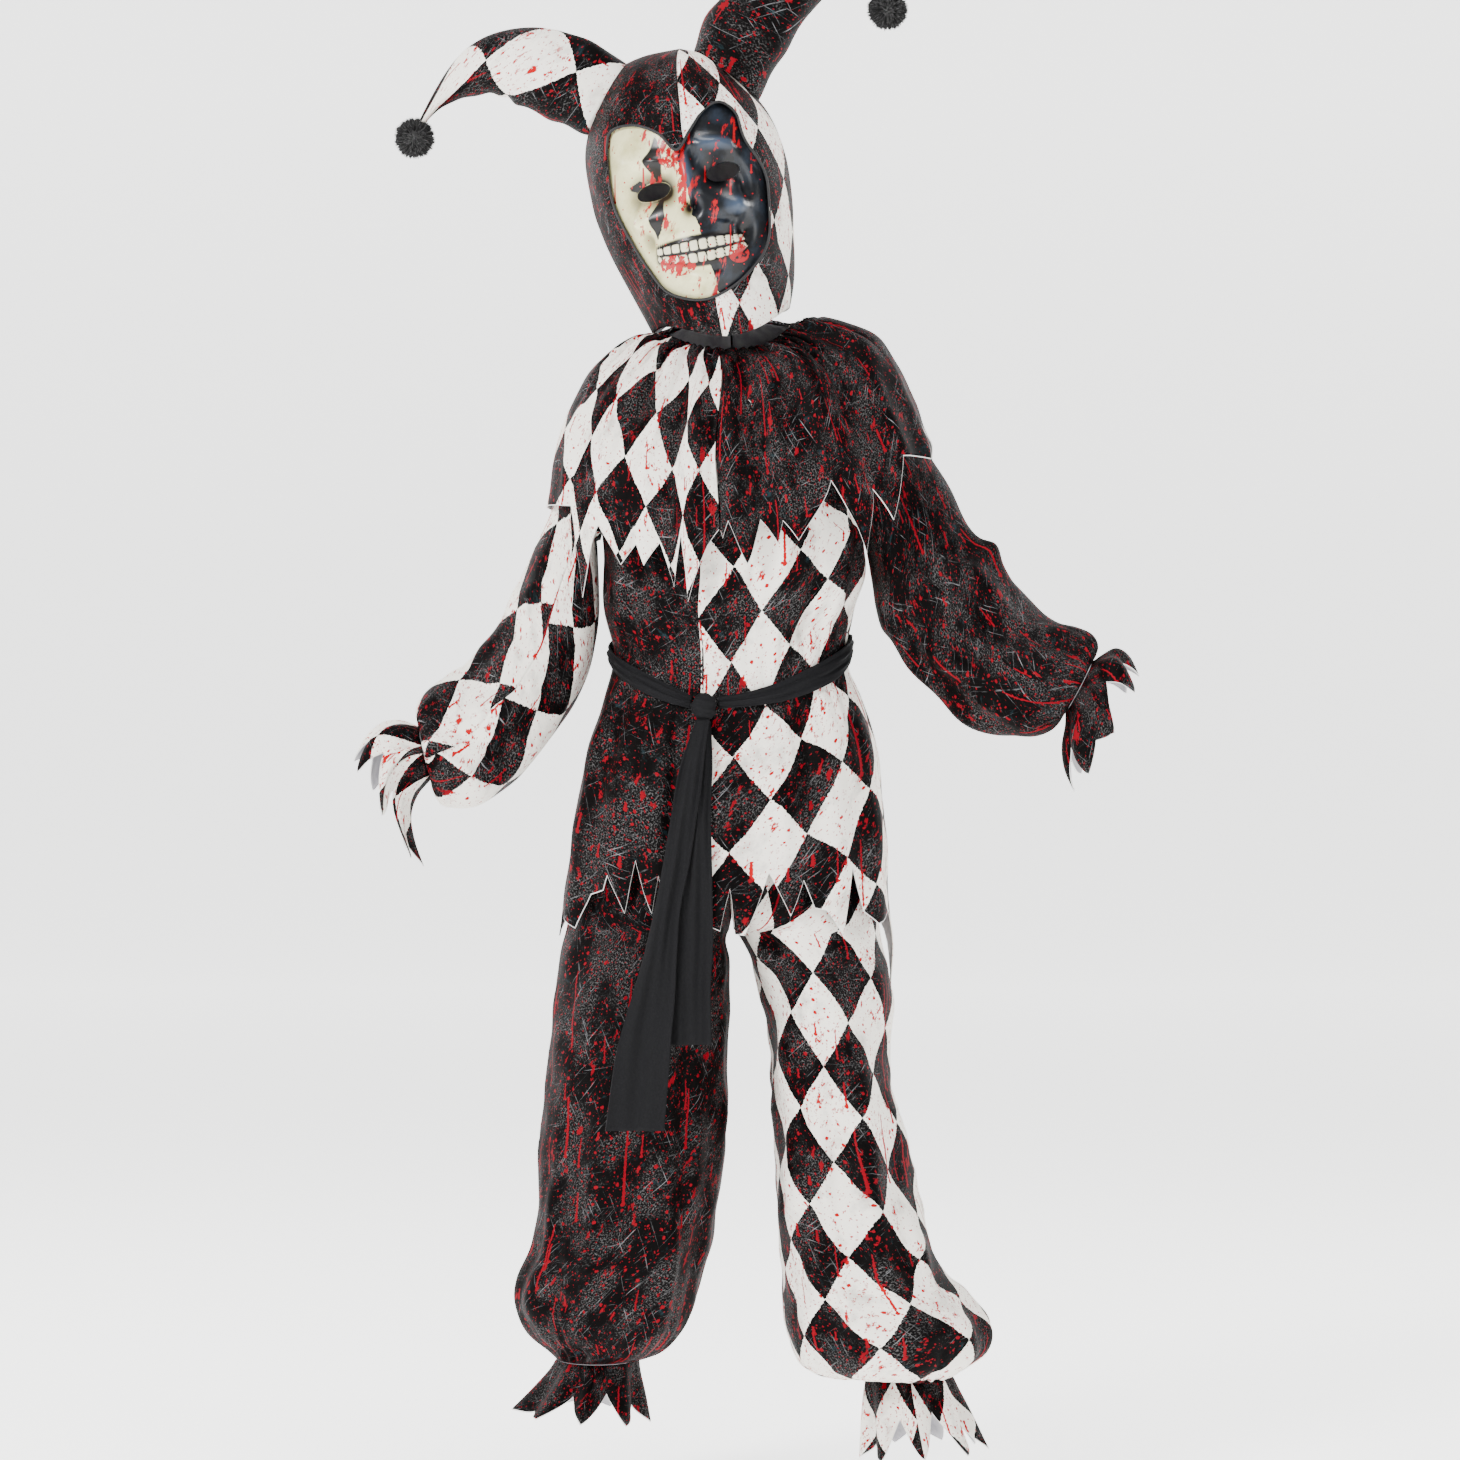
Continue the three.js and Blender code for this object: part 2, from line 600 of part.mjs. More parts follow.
// How far the armhole's edge lies from the side line at a row, as a turn.
function armholeTurn(row, side) {
  const z = tunic.at(row, sideTurn(side)).z;
  const up = (z - (side < 0 ? ARMHOLE.rightZ : ARMHOLE.leftZ)) / ARMHOLE.z;
  if (Math.abs(up) >= 1) return 0;
  const ring = tunic.ring(row);
  const reach = (ARMHOLE.y * Math.sqrt(1 - up * up)) / ((ring.backY - ring.frontY) / 2);
  return Math.asin(Math.min(1, reach) ** (BODY_ROUND / 2));
}

function tunicPanel(hem, side, atBack) {
  const centreTurn = (atBack ? side * BACK_SEAM : TUNIC_FRONT_SEAM) * DEGREE;
  const armholeZ = side < 0 ? ARMHOLE.rightZ : ARMHOLE.leftZ;
  const top = rowAt(tunic, armholeZ + ARMHOLE.z, () => sideTurn(side));
  const bottom = rowAt(tunic, armholeZ - ARMHOLE.z, () => sideTurn(side));
  const rows = [...TUNIC_ROWS_ABOVE, ...spread(top, bottom, ARMHOLE_ROWS), ...TUNIC_ROWS_BELOW];
  const points = hem.map(({ x, z }) => seenAt(tunic, x, z, atBack));
  const turns = points.map(({ turn }) => (atBack && side < 0 ? turn - 2 * Math.PI : turn));
  const seam = SEAM / 2 / 100;
  const away = Math.sign(centreTurn - sideTurn(side));
  turns[0] = atBack ? turns[0] : centreTurn - away * seam;
  turns[turns.length - 1] = atBack ? centreTurn - away * seam : sideTurn(side) + away * seam;
  if (atBack) turns[0] = sideTurn(side) + away * seam;
  const share = turns.map((turn) => (turn - centreTurn) / (sideTurn(side) - centreTurn));
  const line = (row) => {
    const edge = sideTurn(side) + away * armholeTurn(row, side);
    return share.map((part) => ({ row, turn: centreTurn + (edge - centreTurn) * part }));
  };
  const body = rows.map(line);
  const last = rows.at(-1);
  const skirt = TUNIC_HEM_LEVELS.map((level) =>
    points.map((point, j) => ({ row: last + (point.row - last) * level, turn: turns[j] })),
  );
  return clothWall(tunic, [...body, ...skirt], CLOTH);
}

add("tunic_front_right", tunicPanel(TUNIC_HEM_RIGHT_FRONT, -1, false), BLACK_PRINT, CLOTH_ROUGHNESS);
add("tunic_front_left", tunicPanel(TUNIC_HEM_LEFT_FRONT, 1, false), DIAMOND_PRINT, CLOTH_ROUGHNESS);
add("tunic_back_right", tunicPanel(TUNIC_HEM_RIGHT_BACK, -1, true), BLACK_PRINT, CLOTH_ROUGHNESS);
add("tunic_back_left", tunicPanel(TUNIC_HEM_LEFT_BACK, 1, true), DIAMOND_PRINT, CLOTH_ROUGHNESS);

// Sleeves: the first ring lies on the tunic round the armhole, and the last one is at the elastic.
const SLEEVE_COLUMNS = 18;
const SLEEVE_LEVELS = 12;
const SLEEVE_SEAT = 1; // how far the seat stands out, so that the flat facets stay clear
const SEAT_SIZE = 1.05;
const SLEEVE_GATHER = 1.6;

// The gathers grow over the last rows and are held flat at the elastic itself.
const gatherShare = (row, last) => (row === last ? 0 : Math.max(0, row - (last - 3)) / 3);

function sleeve(rows, folds, side) {
  const armholeZ = side < 0 ? ARMHOLE.rightZ : ARMHOLE.leftZ;
  const plain = tube(rows, ROUND, folds);
  const seat = (turn) => {
    const z = armholeZ - side * -Math.sin(turn) * ARMHOLE.z * SEAT_SIZE;
    const y = -Math.cos(turn) * ARMHOLE.y * SEAT_SIZE;
    const turnAt = (row) => {
      const ring = tunic.ring(row);
      const reach = y / ((ring.backY - ring.frontY) / 2);
      const off = Math.asin(Math.abs(reach) ** (BODY_ROUND / 2)) * Math.sign(reach);
      return sideTurn(side) + side * off;
    };
    const row = rowAt(tunic, z, turnAt);
    const point = tunic.at(row, turnAt(row));
    return point.addScaledVector(outward(tunic, row, turnAt(row)), SLEEVE_SEAT);
  };
  const turns = spread(0, 2 * Math.PI, SLEEVE_COLUMNS).slice(0, -1);
  const outer = [];
  const inner = [];
  outer.push(turns.map(seat));
  inner.push(
    turns.map((turn, j) => {
      const middle = new THREE.Vector3(outer[0][j].x, 0, armholeZ);
      return outer[0][j].clone().add(middle.sub(outer[0][j]).setLength(CLOTH));
    }),
  );
  for (const row of spread(0, plain.last, SLEEVE_LEVELS)) {
    const gathered = gatherShare(row, plain.last);
    const lift = (j) => (j % 2 ? SLEEVE_GATHER : -SLEEVE_GATHER) * gathered;
    const face = (depth) =>
      turns.map((turn, j) =>
        plain.at(row, turn).addScaledVector(outward(plain, row, turn), lift(j) - depth),
      );
    outer.push(face(0));
    inner.push(face(CLOTH));
  }
  return wallBetween(outer, inner, true);
}

add("sleeve_right", sleeve(SLEEVE_RIGHT, SLEEVE_RIGHT_FOLDS, -1), DIAMOND_PRINT, CLOTH_ROUGHNESS);
add("sleeve_left", sleeve(SLEEVE_LEFT, SLEEVE_LEFT_FOLDS, 1), BLACK_PRINT, CLOTH_ROUGHNESS);

// Trousers: one piece a leg, which wraps the leg from the inseam and is open above the crotch,
// where it meets the other leg at the centre seam.
const LEG_COLUMNS = 20;
const LEG_LEVELS = 13;
const LEG_GATHER = 2.4;

function leg(rows, folds, side) {
  const plain = tube(rows, LEG_ROUND, folds);
  const places = spread(0, plain.last, LEG_LEVELS).map((row) => {
    const ring = plain.ring(row);
    const middle = (ring.rightX + ring.leftX) / 2;
    const half = (ring.leftX - ring.rightX) / 2;
    const edge = (-side * (TROUSER_SEAM_X + (side * SEAM) / 2 - middle)) / half;
    const inner = Math.asin(Math.min(1, Math.max(0, edge)) ** (LEG_ROUND / 2));
    const most = Math.min(inner, Math.PI / 2 - SEAM / 100);
    const gathered = gatherShare(row, plain.last);
    return spread(-most, Math.PI + most, LEG_COLUMNS).map((turn, j) => ({
      row,
      turn: side * turn,
      lift: (j % 2 ? LEG_GATHER : -LEG_GATHER) * gathered * (j > 0 && j < LEG_COLUMNS ? 1 : 0),
    }));
  });
  return clothWall(plain, places, CLOTH);
}

add("leg_right", leg(LEG_RIGHT, LEG_RIGHT_FOLDS, -1), BLACK_PRINT, CLOTH_ROUGHNESS);
add("leg_left", leg(LEG_LEFT, LEG_LEFT_FOLDS, 1), DIAMOND_PRINT, CLOTH_ROUGHNESS);

// Frills: a flared tube from the elastic to a zigzag edge, waved once for each tooth.
const FRILL_ROW_SHARES = [0, 0.5, 1];

function frill(rows, teeth, notch, wave) {
  const plain = tube(rows, ROUND);
  const columns = teeth * 4;
  const places = FRILL_ROW_SHARES.map((share) =>
    spread(0, 2 * Math.PI, columns).slice(0, -1).map((turn, j) => {
      const depth = j % 4 === 2 ? notch * (0.8 + 0.4 * Math.sin(j)) : j % 4 === 0 ? 0 : notch / 2;
      const row = share * plain.last * (1 - depth);
      return { row, turn, lift: wave * share * Math.cos((j * Math.PI) / 2) };
    }),
  );
  return clothWall(plain, places, FRILL, true);
}

const frills = [
  ["cuff_frill_right", CUFF_FRILL_RIGHT, 7, 0.42, 4, DIAMOND_PRINT],
  ["cuff_frill_left", CUFF_FRILL_LEFT, 8, 0.4, 4, BLACK_PRINT],
  ["ankle_frill_right", ANKLE_FRILL_RIGHT, 9, 0.4, 5, BLACK_PRINT],
  ["ankle_frill_left", ANKLE_FRILL_LEFT, 9, 0.4, 5, DIAMOND_PRINT],
];
for (const [name, rows, teeth, notch, wave, colour] of frills) {
  add(name, frill(rows, teeth, notch, wave), colour, CLOTH_ROUGHNESS);
}

// Hood: two sides joined over the crown, cut away round the face.
const HOOD_ROWS = spread(0, hood.last, 10);
const HOOD_COLUMNS = 11;
const CUT_DEPTH = 400;

function prism(outline, fromY, toY) {
  const shape = new THREE.Shape(outline.map(({ x, z }) => new THREE.Vector2(x, z)));
  const block = new THREE.ExtrudeGeometry(shape, { depth: toY - fromY, bevelEnabled: false });
  block.rotateX(Math.PI / 2);
  return block.translate(0, toY, 0);
}

const openingCurve = new THREE.CatmullRomCurve3(
  FACE_OPENING.map(({ x, z }) => new THREE.Vector3(x, 0, z)),
  true,
);
const openingOutline = openingCurve.getPoints(48).slice(0, -1);
const openingCut = manifoldOf(prism(openingOutline, -CUT_DEPTH, 0));

function hoodSide(side) {
  const seam = SEAM / 2 / 100;
  const places = HOOD_ROWS.map((row) =>
    spread(seam, Math.PI - seam, HOOD_COLUMNS).map((turn) => ({ row, turn: side * turn })),
  );
  return geometryOf(manifoldOf(clothWall(hood, places, CLOTH)).subtract(openingCut));
}

add("hood_right", hoodSide(-1), BLACK_PRINT, CLOTH_ROUGHNESS);
add("hood_left", hoodSide(1), DIAMOND_PRINT, CLOTH_ROUGHNESS);

// Horns: stuffed tubes whose open ends are sewn down on the crown.
const HORN_SIDES = 12;

function hornRings(rows, count, widen) {
  const path = new THREE.CatmullRomCurve3(rows.map(({ x, y, z }) => new THREE.Vector3(x, y, z)));
  const last = rows.length - 1;
  return spread(0, 1, count).map((t) => {
    const middle = path.getPoint(t);
    const along = path.getTangent(t);
    const up = new THREE.Vector3(0, 1, 0).cross(along).normalize();
    const out = along.clone().cross(up).normalize();
    const radius = between(rows, "radius", t * last) + widen;
    return spread(0, 2 * Math.PI, HORN_SIDES).slice(0, -1).map((turn) =>
      middle
        .clone()
        .addScaledVector(up, radius * Math.cos(turn))
        .addScaledVector(out, radius * Math.sin(turn)),
    );
  });
}

const hoodForm = manifoldOf(
  solidThrough(
    HOOD_ROWS.map((row) =>
      spread(0, 2 * Math.PI, 2 * HOOD_COLUMNS).slice(0, -1).map((turn) =>
        hood.at(row, turn).addScaledVector(outward(hood, row, turn), SEAM),
      ),
    ),
  ),
);
const HORN_STEPS = 11;
const hornSolid = (rows, widen) => manifoldOf(solidThrough(hornRings(rows, HORN_STEPS, widen)));
const hornRight = hornSolid(HORN_RIGHT, 0).subtract(hoodForm);
const hornLeft = hornSolid(HORN_LEFT, 0).subtract(hoodForm).subtract(hornSolid(HORN_RIGHT, SEAM));
add("horn_right", geometryOf(hornRight), DIAMOND_PRINT, CLOTH_ROUGHNESS);
add("horn_left", geometryOf(hornLeft), BLACK_PRINT, CLOTH_ROUGHNESS);

// Pompoms: a ball of three-sided locks, with a hollow for the horn's tip.
const POMPOM_PLACES = { right: [-294, -14, 190], left: [154, -12, 312] };

function pompom(place) {
  const ball = new THREE.IcosahedronGeometry(POMPOM.core, 1).toNonIndexed().getAttribute("position");
  const centre = new THREE.Vector3(...place);
  const points = [];
  const faces = [];
  for (let i = 0; i < ball.count; i += 3) {
    const corners = [0, 1, 2].map((k) => new THREE.Vector3().fromBufferAttribute(ball, i + k));
    const tip = corners.reduce((sum, p) => sum.add(p), new THREE.Vector3()).setLength(POMPOM.reach);
    const first = points.length;
    points.push(...[...corners, tip].map((p) => p.add(centre)));
    faces.push([first, first + 1, first + 3], [first + 1, first + 2, first + 3], [first + 2, first, first + 3]);
  }
  return manifoldOf(geometryFrom(points, faces));
}

const pompomRight = pompom(POMPOM_PLACES.right).subtract(hornSolid(HORN_RIGHT, SEAM));
const pompomLeft = pompom(POMPOM_PLACES.left).subtract(hornSolid(HORN_LEFT, SEAM));
add("pompom_right", geometryOf(pompomRight), POMPOM_BLACK, 1);
add("pompom_left", geometryOf(pompomLeft), POMPOM_BLACK, 1);

// Mask: a moulded shell a little larger than the face opening, set behind its edge.
const MASK_RINGS = [0.04, 0.25, 0.45, 0.63, 0.78, 0.9, 1];
const MASK_SPOKES = 26;
const MASK_EDGE = 0.86; // the forms fade out from here to the rim

function maskRelief(x, z, share) {
  const free = 1 - THREE.MathUtils.smoothstep(share, MASK_EDGE - 0.12, MASK_EDGE);
  const height = MASK_FORMS.reduce((sum, form) => {
    const far = ((x - form.x) / form.spreadX) ** 2 + ((z - form.z) / form.spreadZ) ** 2;
    return sum + form.out * Math.exp(-far);
  }, 0);
  return height * free;
}

const maskFace = (depth) =>
  MASK_RINGS.map((share) =>
    spread(0, 1, MASK_SPOKES).slice(0, -1).map((t) => {
      const rim = openingCurve.getPoint(t);
      const x = MASK.x + (rim.x - MASK.x) * MASK.lap * share;
      const z = MASK.z + (rim.z - MASK.z) * MASK.lap * share;
      const { row, turn } = seenAt(hood, x, z);
      const out = maskRelief(x, z, share) - MASK.inset - depth;
      return hood.at(row, turn).addScaledVector(outward(hood, row, turn), out);
    }),
  );

const eyeCuts = EYES.map(({ x, z }) => {
  const oval = spread(0, 2 * Math.PI, 14).slice(0, -1).map((turn) => ({
    x: x + MASK.eyeWidth * Math.cos(turn),
    z: z + MASK.eyeHeight * Math.sin(turn) + 0.2 * MASK.eyeWidth * Math.cos(turn),
  }));
  return manifoldOf(prism(oval, -CUT_DEPTH, 0));
});
const maskWall = manifoldOf(wallBetween(maskFace(0), maskFace(MASK_WALL), true));
add("mask", geometryOf(maskWall.subtract(eyeCuts[0]).subtract(eyeCuts[1])), 0xe9e7c8, 0.35);

// Sash: three stretches of folded cloth round the waist, the knot and two hanging tails.
const SASH_PATH = table(["turn", "z", "height"], [
  [-196, -284, 20], [-150, -284, 21], [-110, -291, 17], [-88, -297, 14], [-66, -309, 16], [-45, -322, 18],
  [-28, -334, 17], [-12, -346, 12], [-3, -346, 11], [16, -337, 18], [32, -326, 22], [52, -313, 24],
  [74, -299, 22], [92, -290, 21], [120, -286, 21], [164, -284, 20],
]);
const SASH_STRETCHES = [
  ["sash_front_right", -100, -12.5, 14],
  ["sash_front_left", -3, 100, 16],
  ["sash_back", 101, 259, 20],
];
const SASH_LEVELS = [-0.5, -0.17, 0.17, 0.5];
const SASH_CROWN = 1.6;

function sashAt(turn) {
  const at = turn > 164 ? turn - 360 : turn;
  const next = Math.max(1, SASH_PATH.findIndex((row) => row.turn >= at));
  const a = SASH_PATH[next - 1];
  const b = SASH_PATH[next];
  const t = (at - a.turn) / (b.turn - a.turn);
  return { z: a.z + (b.z - a.z) * t, height: a.height + (b.height - a.height) * t };
}

function sashStretch(from, to, columns) {
  const face = (depth) =>
    SASH_LEVELS.map((level) =>
      spread(from, to, columns).map((degrees) => {
        const { z, height } = sashAt(degrees);
        const turn = degrees * DEGREE;
        const row = rowAt(tunic, z - level * height, () => turn);
        const crown = SASH_CROWN * (1 - (2 * level) ** 2);
        const out = SASH.clear + crown + SASH.wall - depth;
        return tunic.at(row, turn).addScaledVector(outward(tunic, row, turn), out);
      }),
    );
  return wallBetween(face(0), face(SASH.wall), false);
}

for (const [name, from, to, columns] of SASH_STRETCHES) {
  add(name, sashStretch(from, to, columns), SASH_BLACK, CLOTH_ROUGHNESS);
}

// The knot is a wrapped band with rounded shoulders, which leans a little.
const KNOT = { x: -19.5, y: -101, z: -349, wide: 11.6, deep: 9.2, tall: 13 };
const knot = new THREE.SphereGeometry(1, 14, 10);
knot.scale(KNOT.wide, KNOT.deep, KNOT.tall).rotateY(0.25).translate(KNOT.x, KNOT.y, KNOT.z);
add("sash_knot", geometryOf(manifoldOf(knot)), SASH_BLACK, CLOTH_ROUGHNESS);

const TAIL = ["z", "rightX", "leftX", "y"];
const SASH_TAIL_LONG = table(TAIL, [
  [-360.4, -26, -14, -107], [-392, -37, -19, -122], [-418, -44, -22, -127], [-452, -50, -27, -130],
  [-493, -57, -33, -131], [-535, -65, -41, -131], [-575, -74, -44, -130], [-617, -86, -46, -128],
  [-651, -96, -49, -127], [-680, -102, -51, -126], [-741, -110, -56, -125],
]);
const SASH_TAIL_SHORT = table(TAIL, [
  [-362.3, -25, -13, -102], [-400, -29, -12, -114], [-446, -32, -14, -121], [-485, -37, -13, -124],
  [-524, -41, -12, -124], [-571, -45, -11, -122], [-612, -48, -13, -120], [-662, -50, -12, -118],
]);
const TAIL_COLUMNS = 6;
const TAIL_FOLD = 2.2;

function sashTail(rows) {
  const face = (depth) =>
    spread(0, rows.length - 1, rows.length - 1).map((row) =>
      spread(0, 1, TAIL_COLUMNS).map((across) => {
        const right = between(rows, "rightX", row);
        const left = between(rows, "leftX", row);
        const fold = TAIL_FOLD * Math.sin(across * 2.4 * Math.PI + row * 0.5) * Math.min(1, row / 2);
        return new THREE.Vector3(
          right + (left - right) * across,
          between(rows, "y", row) + fold * 0.5 + depth,
          between(rows, "z", row),
        );
      }),
    );
  return wallBetween(face(0), face(TAIL_WALL), false);
}

add("sash_tail_long", sashTail(SASH_TAIL_LONG), SASH_BLACK, CLOTH_ROUGHNESS);
add("sash_tail_short", sashTail(SASH_TAIL_SHORT), SASH_BLACK, CLOTH_ROUGHNESS);

export default costume;
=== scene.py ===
import bmesh
import bpy
import numpy as np
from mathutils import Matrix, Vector


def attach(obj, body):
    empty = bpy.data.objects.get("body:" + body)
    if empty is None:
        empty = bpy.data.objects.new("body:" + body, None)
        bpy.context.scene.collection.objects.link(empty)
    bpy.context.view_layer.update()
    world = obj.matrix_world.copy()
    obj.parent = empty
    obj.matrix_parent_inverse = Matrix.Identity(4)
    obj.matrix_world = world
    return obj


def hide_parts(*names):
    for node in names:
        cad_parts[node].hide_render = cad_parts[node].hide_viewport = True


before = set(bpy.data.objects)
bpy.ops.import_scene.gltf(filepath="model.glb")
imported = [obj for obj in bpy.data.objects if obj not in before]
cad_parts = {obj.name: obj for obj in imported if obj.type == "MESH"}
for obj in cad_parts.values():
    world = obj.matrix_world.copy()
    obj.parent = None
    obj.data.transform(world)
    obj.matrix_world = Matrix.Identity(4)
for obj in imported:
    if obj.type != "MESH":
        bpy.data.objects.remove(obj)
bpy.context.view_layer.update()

# Frame: a level camera in front of the costume at the height of its middle, about 4.5 m away.
# One pixel of the photograph is 0.95 mm at the costume's middle plane.
MM = 0.001
PIXEL_MM = 0.95
PHOTO_PIXELS = 1460
CAMERA_DISTANCE_MM = 4500
CAMERA_X_MM = 4.75
CAMERA_Z_MM = -370.5
SENSOR_MM = 36


def linked(name, data):
    """An object that holds the data, linked to the scene."""
    made = bpy.data.objects.new(name, data)
    bpy.context.scene.collection.objects.link(made)
    return made


camera_data = bpy.data.cameras.new("camera")
camera_data.sensor_width = SENSOR_MM
camera_data.lens = SENSOR_MM * CAMERA_DISTANCE_MM / (PHOTO_PIXELS * PIXEL_MM)
camera = linked("camera", camera_data)
camera.location = Vector((CAMERA_X_MM, -CAMERA_DISTANCE_MM, CAMERA_Z_MM)) * MM
camera.rotation_euler = (np.pi / 2, 0, 0)
bpy.context.scene.camera = camera


def linear(hexa):
    """The linear colour of an sRGB hex value: ((c + 0.055) / 1.055) ** 2.4, or c / 12.92 near black."""
    channels = np.array([int(hexa[i:i + 2], 16) for i in (1, 3, 5)]) / 255
    curve = np.where(channels <= 0.04045, channels / 12.92, ((channels + 0.055) / 1.055) ** 2.4)
    return (*curve, 1.0)


def node(tree, kind, settings=None, inputs=None):
    """Adds a node, sets its properties, and fills its inputs with values, sockets or nodes.

    settings is a dictionary, or the name of an operation. inputs is a dictionary, or a list from the
    first input on.
    """
    made = tree.nodes.new(kind)
    if isinstance(settings, str):
        settings = {"operation": settings}
    if isinstance(inputs, list):
        inputs = dict(enumerate(inputs))
    for name, value in (settings or {}).items():
        setattr(made, name, value)
    for name, value in (inputs or {}).items():
        if isinstance(value, bpy.types.Node):
            value = value.outputs[0]
        if isinstance(value, bpy.types.NodeSocket):
            tree.links.new(value, made.inputs[name])
        else:
            made.inputs[name].default_value = value
    return made


def material(name, values):
    """A material, its node tree, and its shader, whose inputs take the values by their names."""
    made = bpy.data.materials.new(name)
    made.use_nodes = True
    tree = made.node_tree
    tree.nodes.clear()
    shader = node(tree, "ShaderNodeBsdfPrincipled", None, values)
    node(tree, "ShaderNodeOutputMaterial", None, {"Surface": shader.outputs[0]})
    return made, tree, shader


# Stage: a pale sheet of studio paper, which lies under the costume and curves up behind it.
FLOOR_Z = -1.105
SWEEP_HALF_WIDTH = 16.0
SWEEP_FRONT_Y = -14.0
SWEEP_BACK_Y = 9.0
SWEEP_RADIUS = 3.0
SWEEP_TOP_Z = 14.0
SWEEP_STEPS = 24
sweep_turn = np.linspace(0, np.pi / 2, SWEEP_STEPS)
sweep_y = np.concatenate([[SWEEP_FRONT_Y], SWEEP_BACK_Y + SWEEP_RADIUS * np.sin(sweep_turn)])
sweep_z = np.concatenate([[FLOOR_Z], FLOOR_Z + SWEEP_RADIUS * (1 - np.cos(sweep_turn))])
sweep_y = np.append(sweep_y, SWEEP_BACK_Y + SWEEP_RADIUS)
sweep_z = np.append(sweep_z, SWEEP_TOP_Z)


def grid_mesh(name, points, uv=None, closed=False):
    """A mesh of quads over a grid of points in metres: rows run down and columns run round.

    Column j meets column j + 1, and the last one meets the first where the grid is closed.
    """
    rows, columns = points.shape[:2]
    count = np.arange(rows * columns).reshape(rows, columns)
    if closed:
        count = np.concatenate([count, count[:, :1]], axis=1)
    quads = np.stack([count[:-1, :-1], count[1:, :-1], count[1:, 1:], count[:-1, 1:]], axis=-1)
    mesh = bpy.data.meshes.new(name)
    mesh.from_pydata(points.reshape(-1, 3).tolist(), [], quads.reshape(-1, 4).tolist())
    if uv is not None:
        corners = np.stack([uv[:-1, :-1], uv[1:, :-1], uv[1:, 1:], uv[:-1, 1:]], axis=2)
        mesh.uv_layers.new(name="cloth").data.foreach_set("uv", corners.reshape(-1).astype(np.float32))
    mesh.polygons.foreach_set("use_smooth", np.ones(len(mesh.polygons), bool))
    mesh.update()
    return linked(name, mesh)


sweep_x = np.array([-SWEEP_HALF_WIDTH, SWEEP_HALF_WIDTH])
sweep_points = np.stack(np.broadcast_arrays(sweep_x[None, :], sweep_y[:, None], sweep_z[:, None]), -1)
sweep = grid_mesh("studio_sweep", sweep_points)
# Matt white background paper, which glows a little so that it stays pale.
paper = material("background_paper", {
    "Base Color": linear("#F3F3F1"), "Roughness": 0.9,
    "Emission Color": linear("#FFFFFF"), "Emission Strength": 1.9})[0]
sweep.data.materials.append(paper)

# Lights: a large soft key at the left, a fill at the right, one above, and one behind at each side.
# Each has its place and its size in metres, and its power in watts.
LIGHTS = {
    "key": ((-2.6, -3.2, 1.9), 1.1, 300),
    "fill": ((2.9, -3.0, 0.6), 2.0, 75),
    "top": ((0.0, -0.6, 3.0), 1.6, 90),
    "rim_right": ((-2.4, 1.6, 1.0), 1.2, 60),
    "rim_left": ((2.4, 1.6, 1.0), 1.2, 60),
}
AIM = Vector((0, 0, -0.35))
for name, (place, size, power) in LIGHTS.items():
    light_data = bpy.data.lights.new(name, "AREA")
    light_data.size = size
    light_data.energy = power
    light = linked(name, light_data)
    light.location = place
    light.rotation_euler = (AIM - Vector(place)).to_track_quat("-Z", "Y").to_euler()
world = bpy.data.worlds.new("studio")
world.use_nodes = True
background = world.node_tree.nodes["Background"]
background.inputs["Color"].default_value = linear("#FFFFFF")
background.inputs["Strength"].default_value = 0.22
bpy.context.scene.world = world


# Cape: two halves of thin printed polyester, one with diamonds and one black, gathered together on a
# narrow elastic at the neck and sewn in with the tunic. Each hem is cut to a zigzag and left raw.
# Rows: rightX, rightZ, leftX, leftZ, frontY, frontZ, backY, backZ in mm, from the neck down.
CAPE = np.array([
    (-69, 4, 77, 20, -56, -12, 56, 27),
    (-93, -5, 112, 14, -66, -24, 67, 14),
    (-110, -16, 139, 5, -77, -42, 79, -8),
    (-127, -32, 157, -13, -88, -64, 91, -34),
    (-143, -59, 172, -41, -98, -90, 102, -66),
    (-156, -88, 186, -73, -105, -116, 109, -98),
    (-162, -117, 198, -103, -109, -141, 113, -128),
    (-167, -146, 209, -137, -111, -166, 115, -157),
    (-170, -176, 214, -166, -112, -192, 116, -188),
    (-172, -215, 217, -205, -112, -226, 116, -224),
    (-174, -265, 220, -255, -112, -268, 116, -266),
], float)
# Soft folds: the turn they lie at, the first and last row, their width in degrees and their height.
CAPE_FOLDS = [
    (-62, 2, 10, 6, 5), (-42, 1, 10, 5, 4), (-24, 1, 10, 4, 4), (-12, 1, 10, 4, 3),
    (6, 1, 10, 4, 4), (18, 1, 10, 4, 4), (32, 1, 10, 5, 5), (50, 1, 10, 6, 6),
    (70, 2, 10, 6, 5), (110, 2, 10, 7, 5), (134, 1, 10, 6, 5), (154, 1, 10, 5, 4),
    (172, 1, 10, 5, 4), (-166, 1, 10, 5, 4), (-146, 1, 10, 6, 5), (-122, 2, 10, 7, 5),
]
CAPE_ROUND = 2.6
HALVINGS = 30
NEAR_EDGE = 0.992
WAVES = 8
CLOTH_WALL_MM = 1.1


def between(rows, row):
    """The values between the rows of a table: a cubic through the four rows round each place."""
    last = len(rows) - 1
    first = np.clip(np.floor(row), 0, last - 1).astype(int)
    t = (row - first)[..., None]
    before, here, after, beyond = (rows[np.clip(first + step, 0, last)] for step in (-1, 0, 1, 2))
    bend = 3 * (here - after) + beyond - before
    return here + 0.5 * t * (after - before + t * (2 * before - 5 * here + 4 * after - beyond + t * bend))


def bell(distance, width):
    """exp(-(distance / width) ** 2), which is 1 at the middle and fades to 0 at both sides."""
    return np.exp(-((distance / width) ** 2))


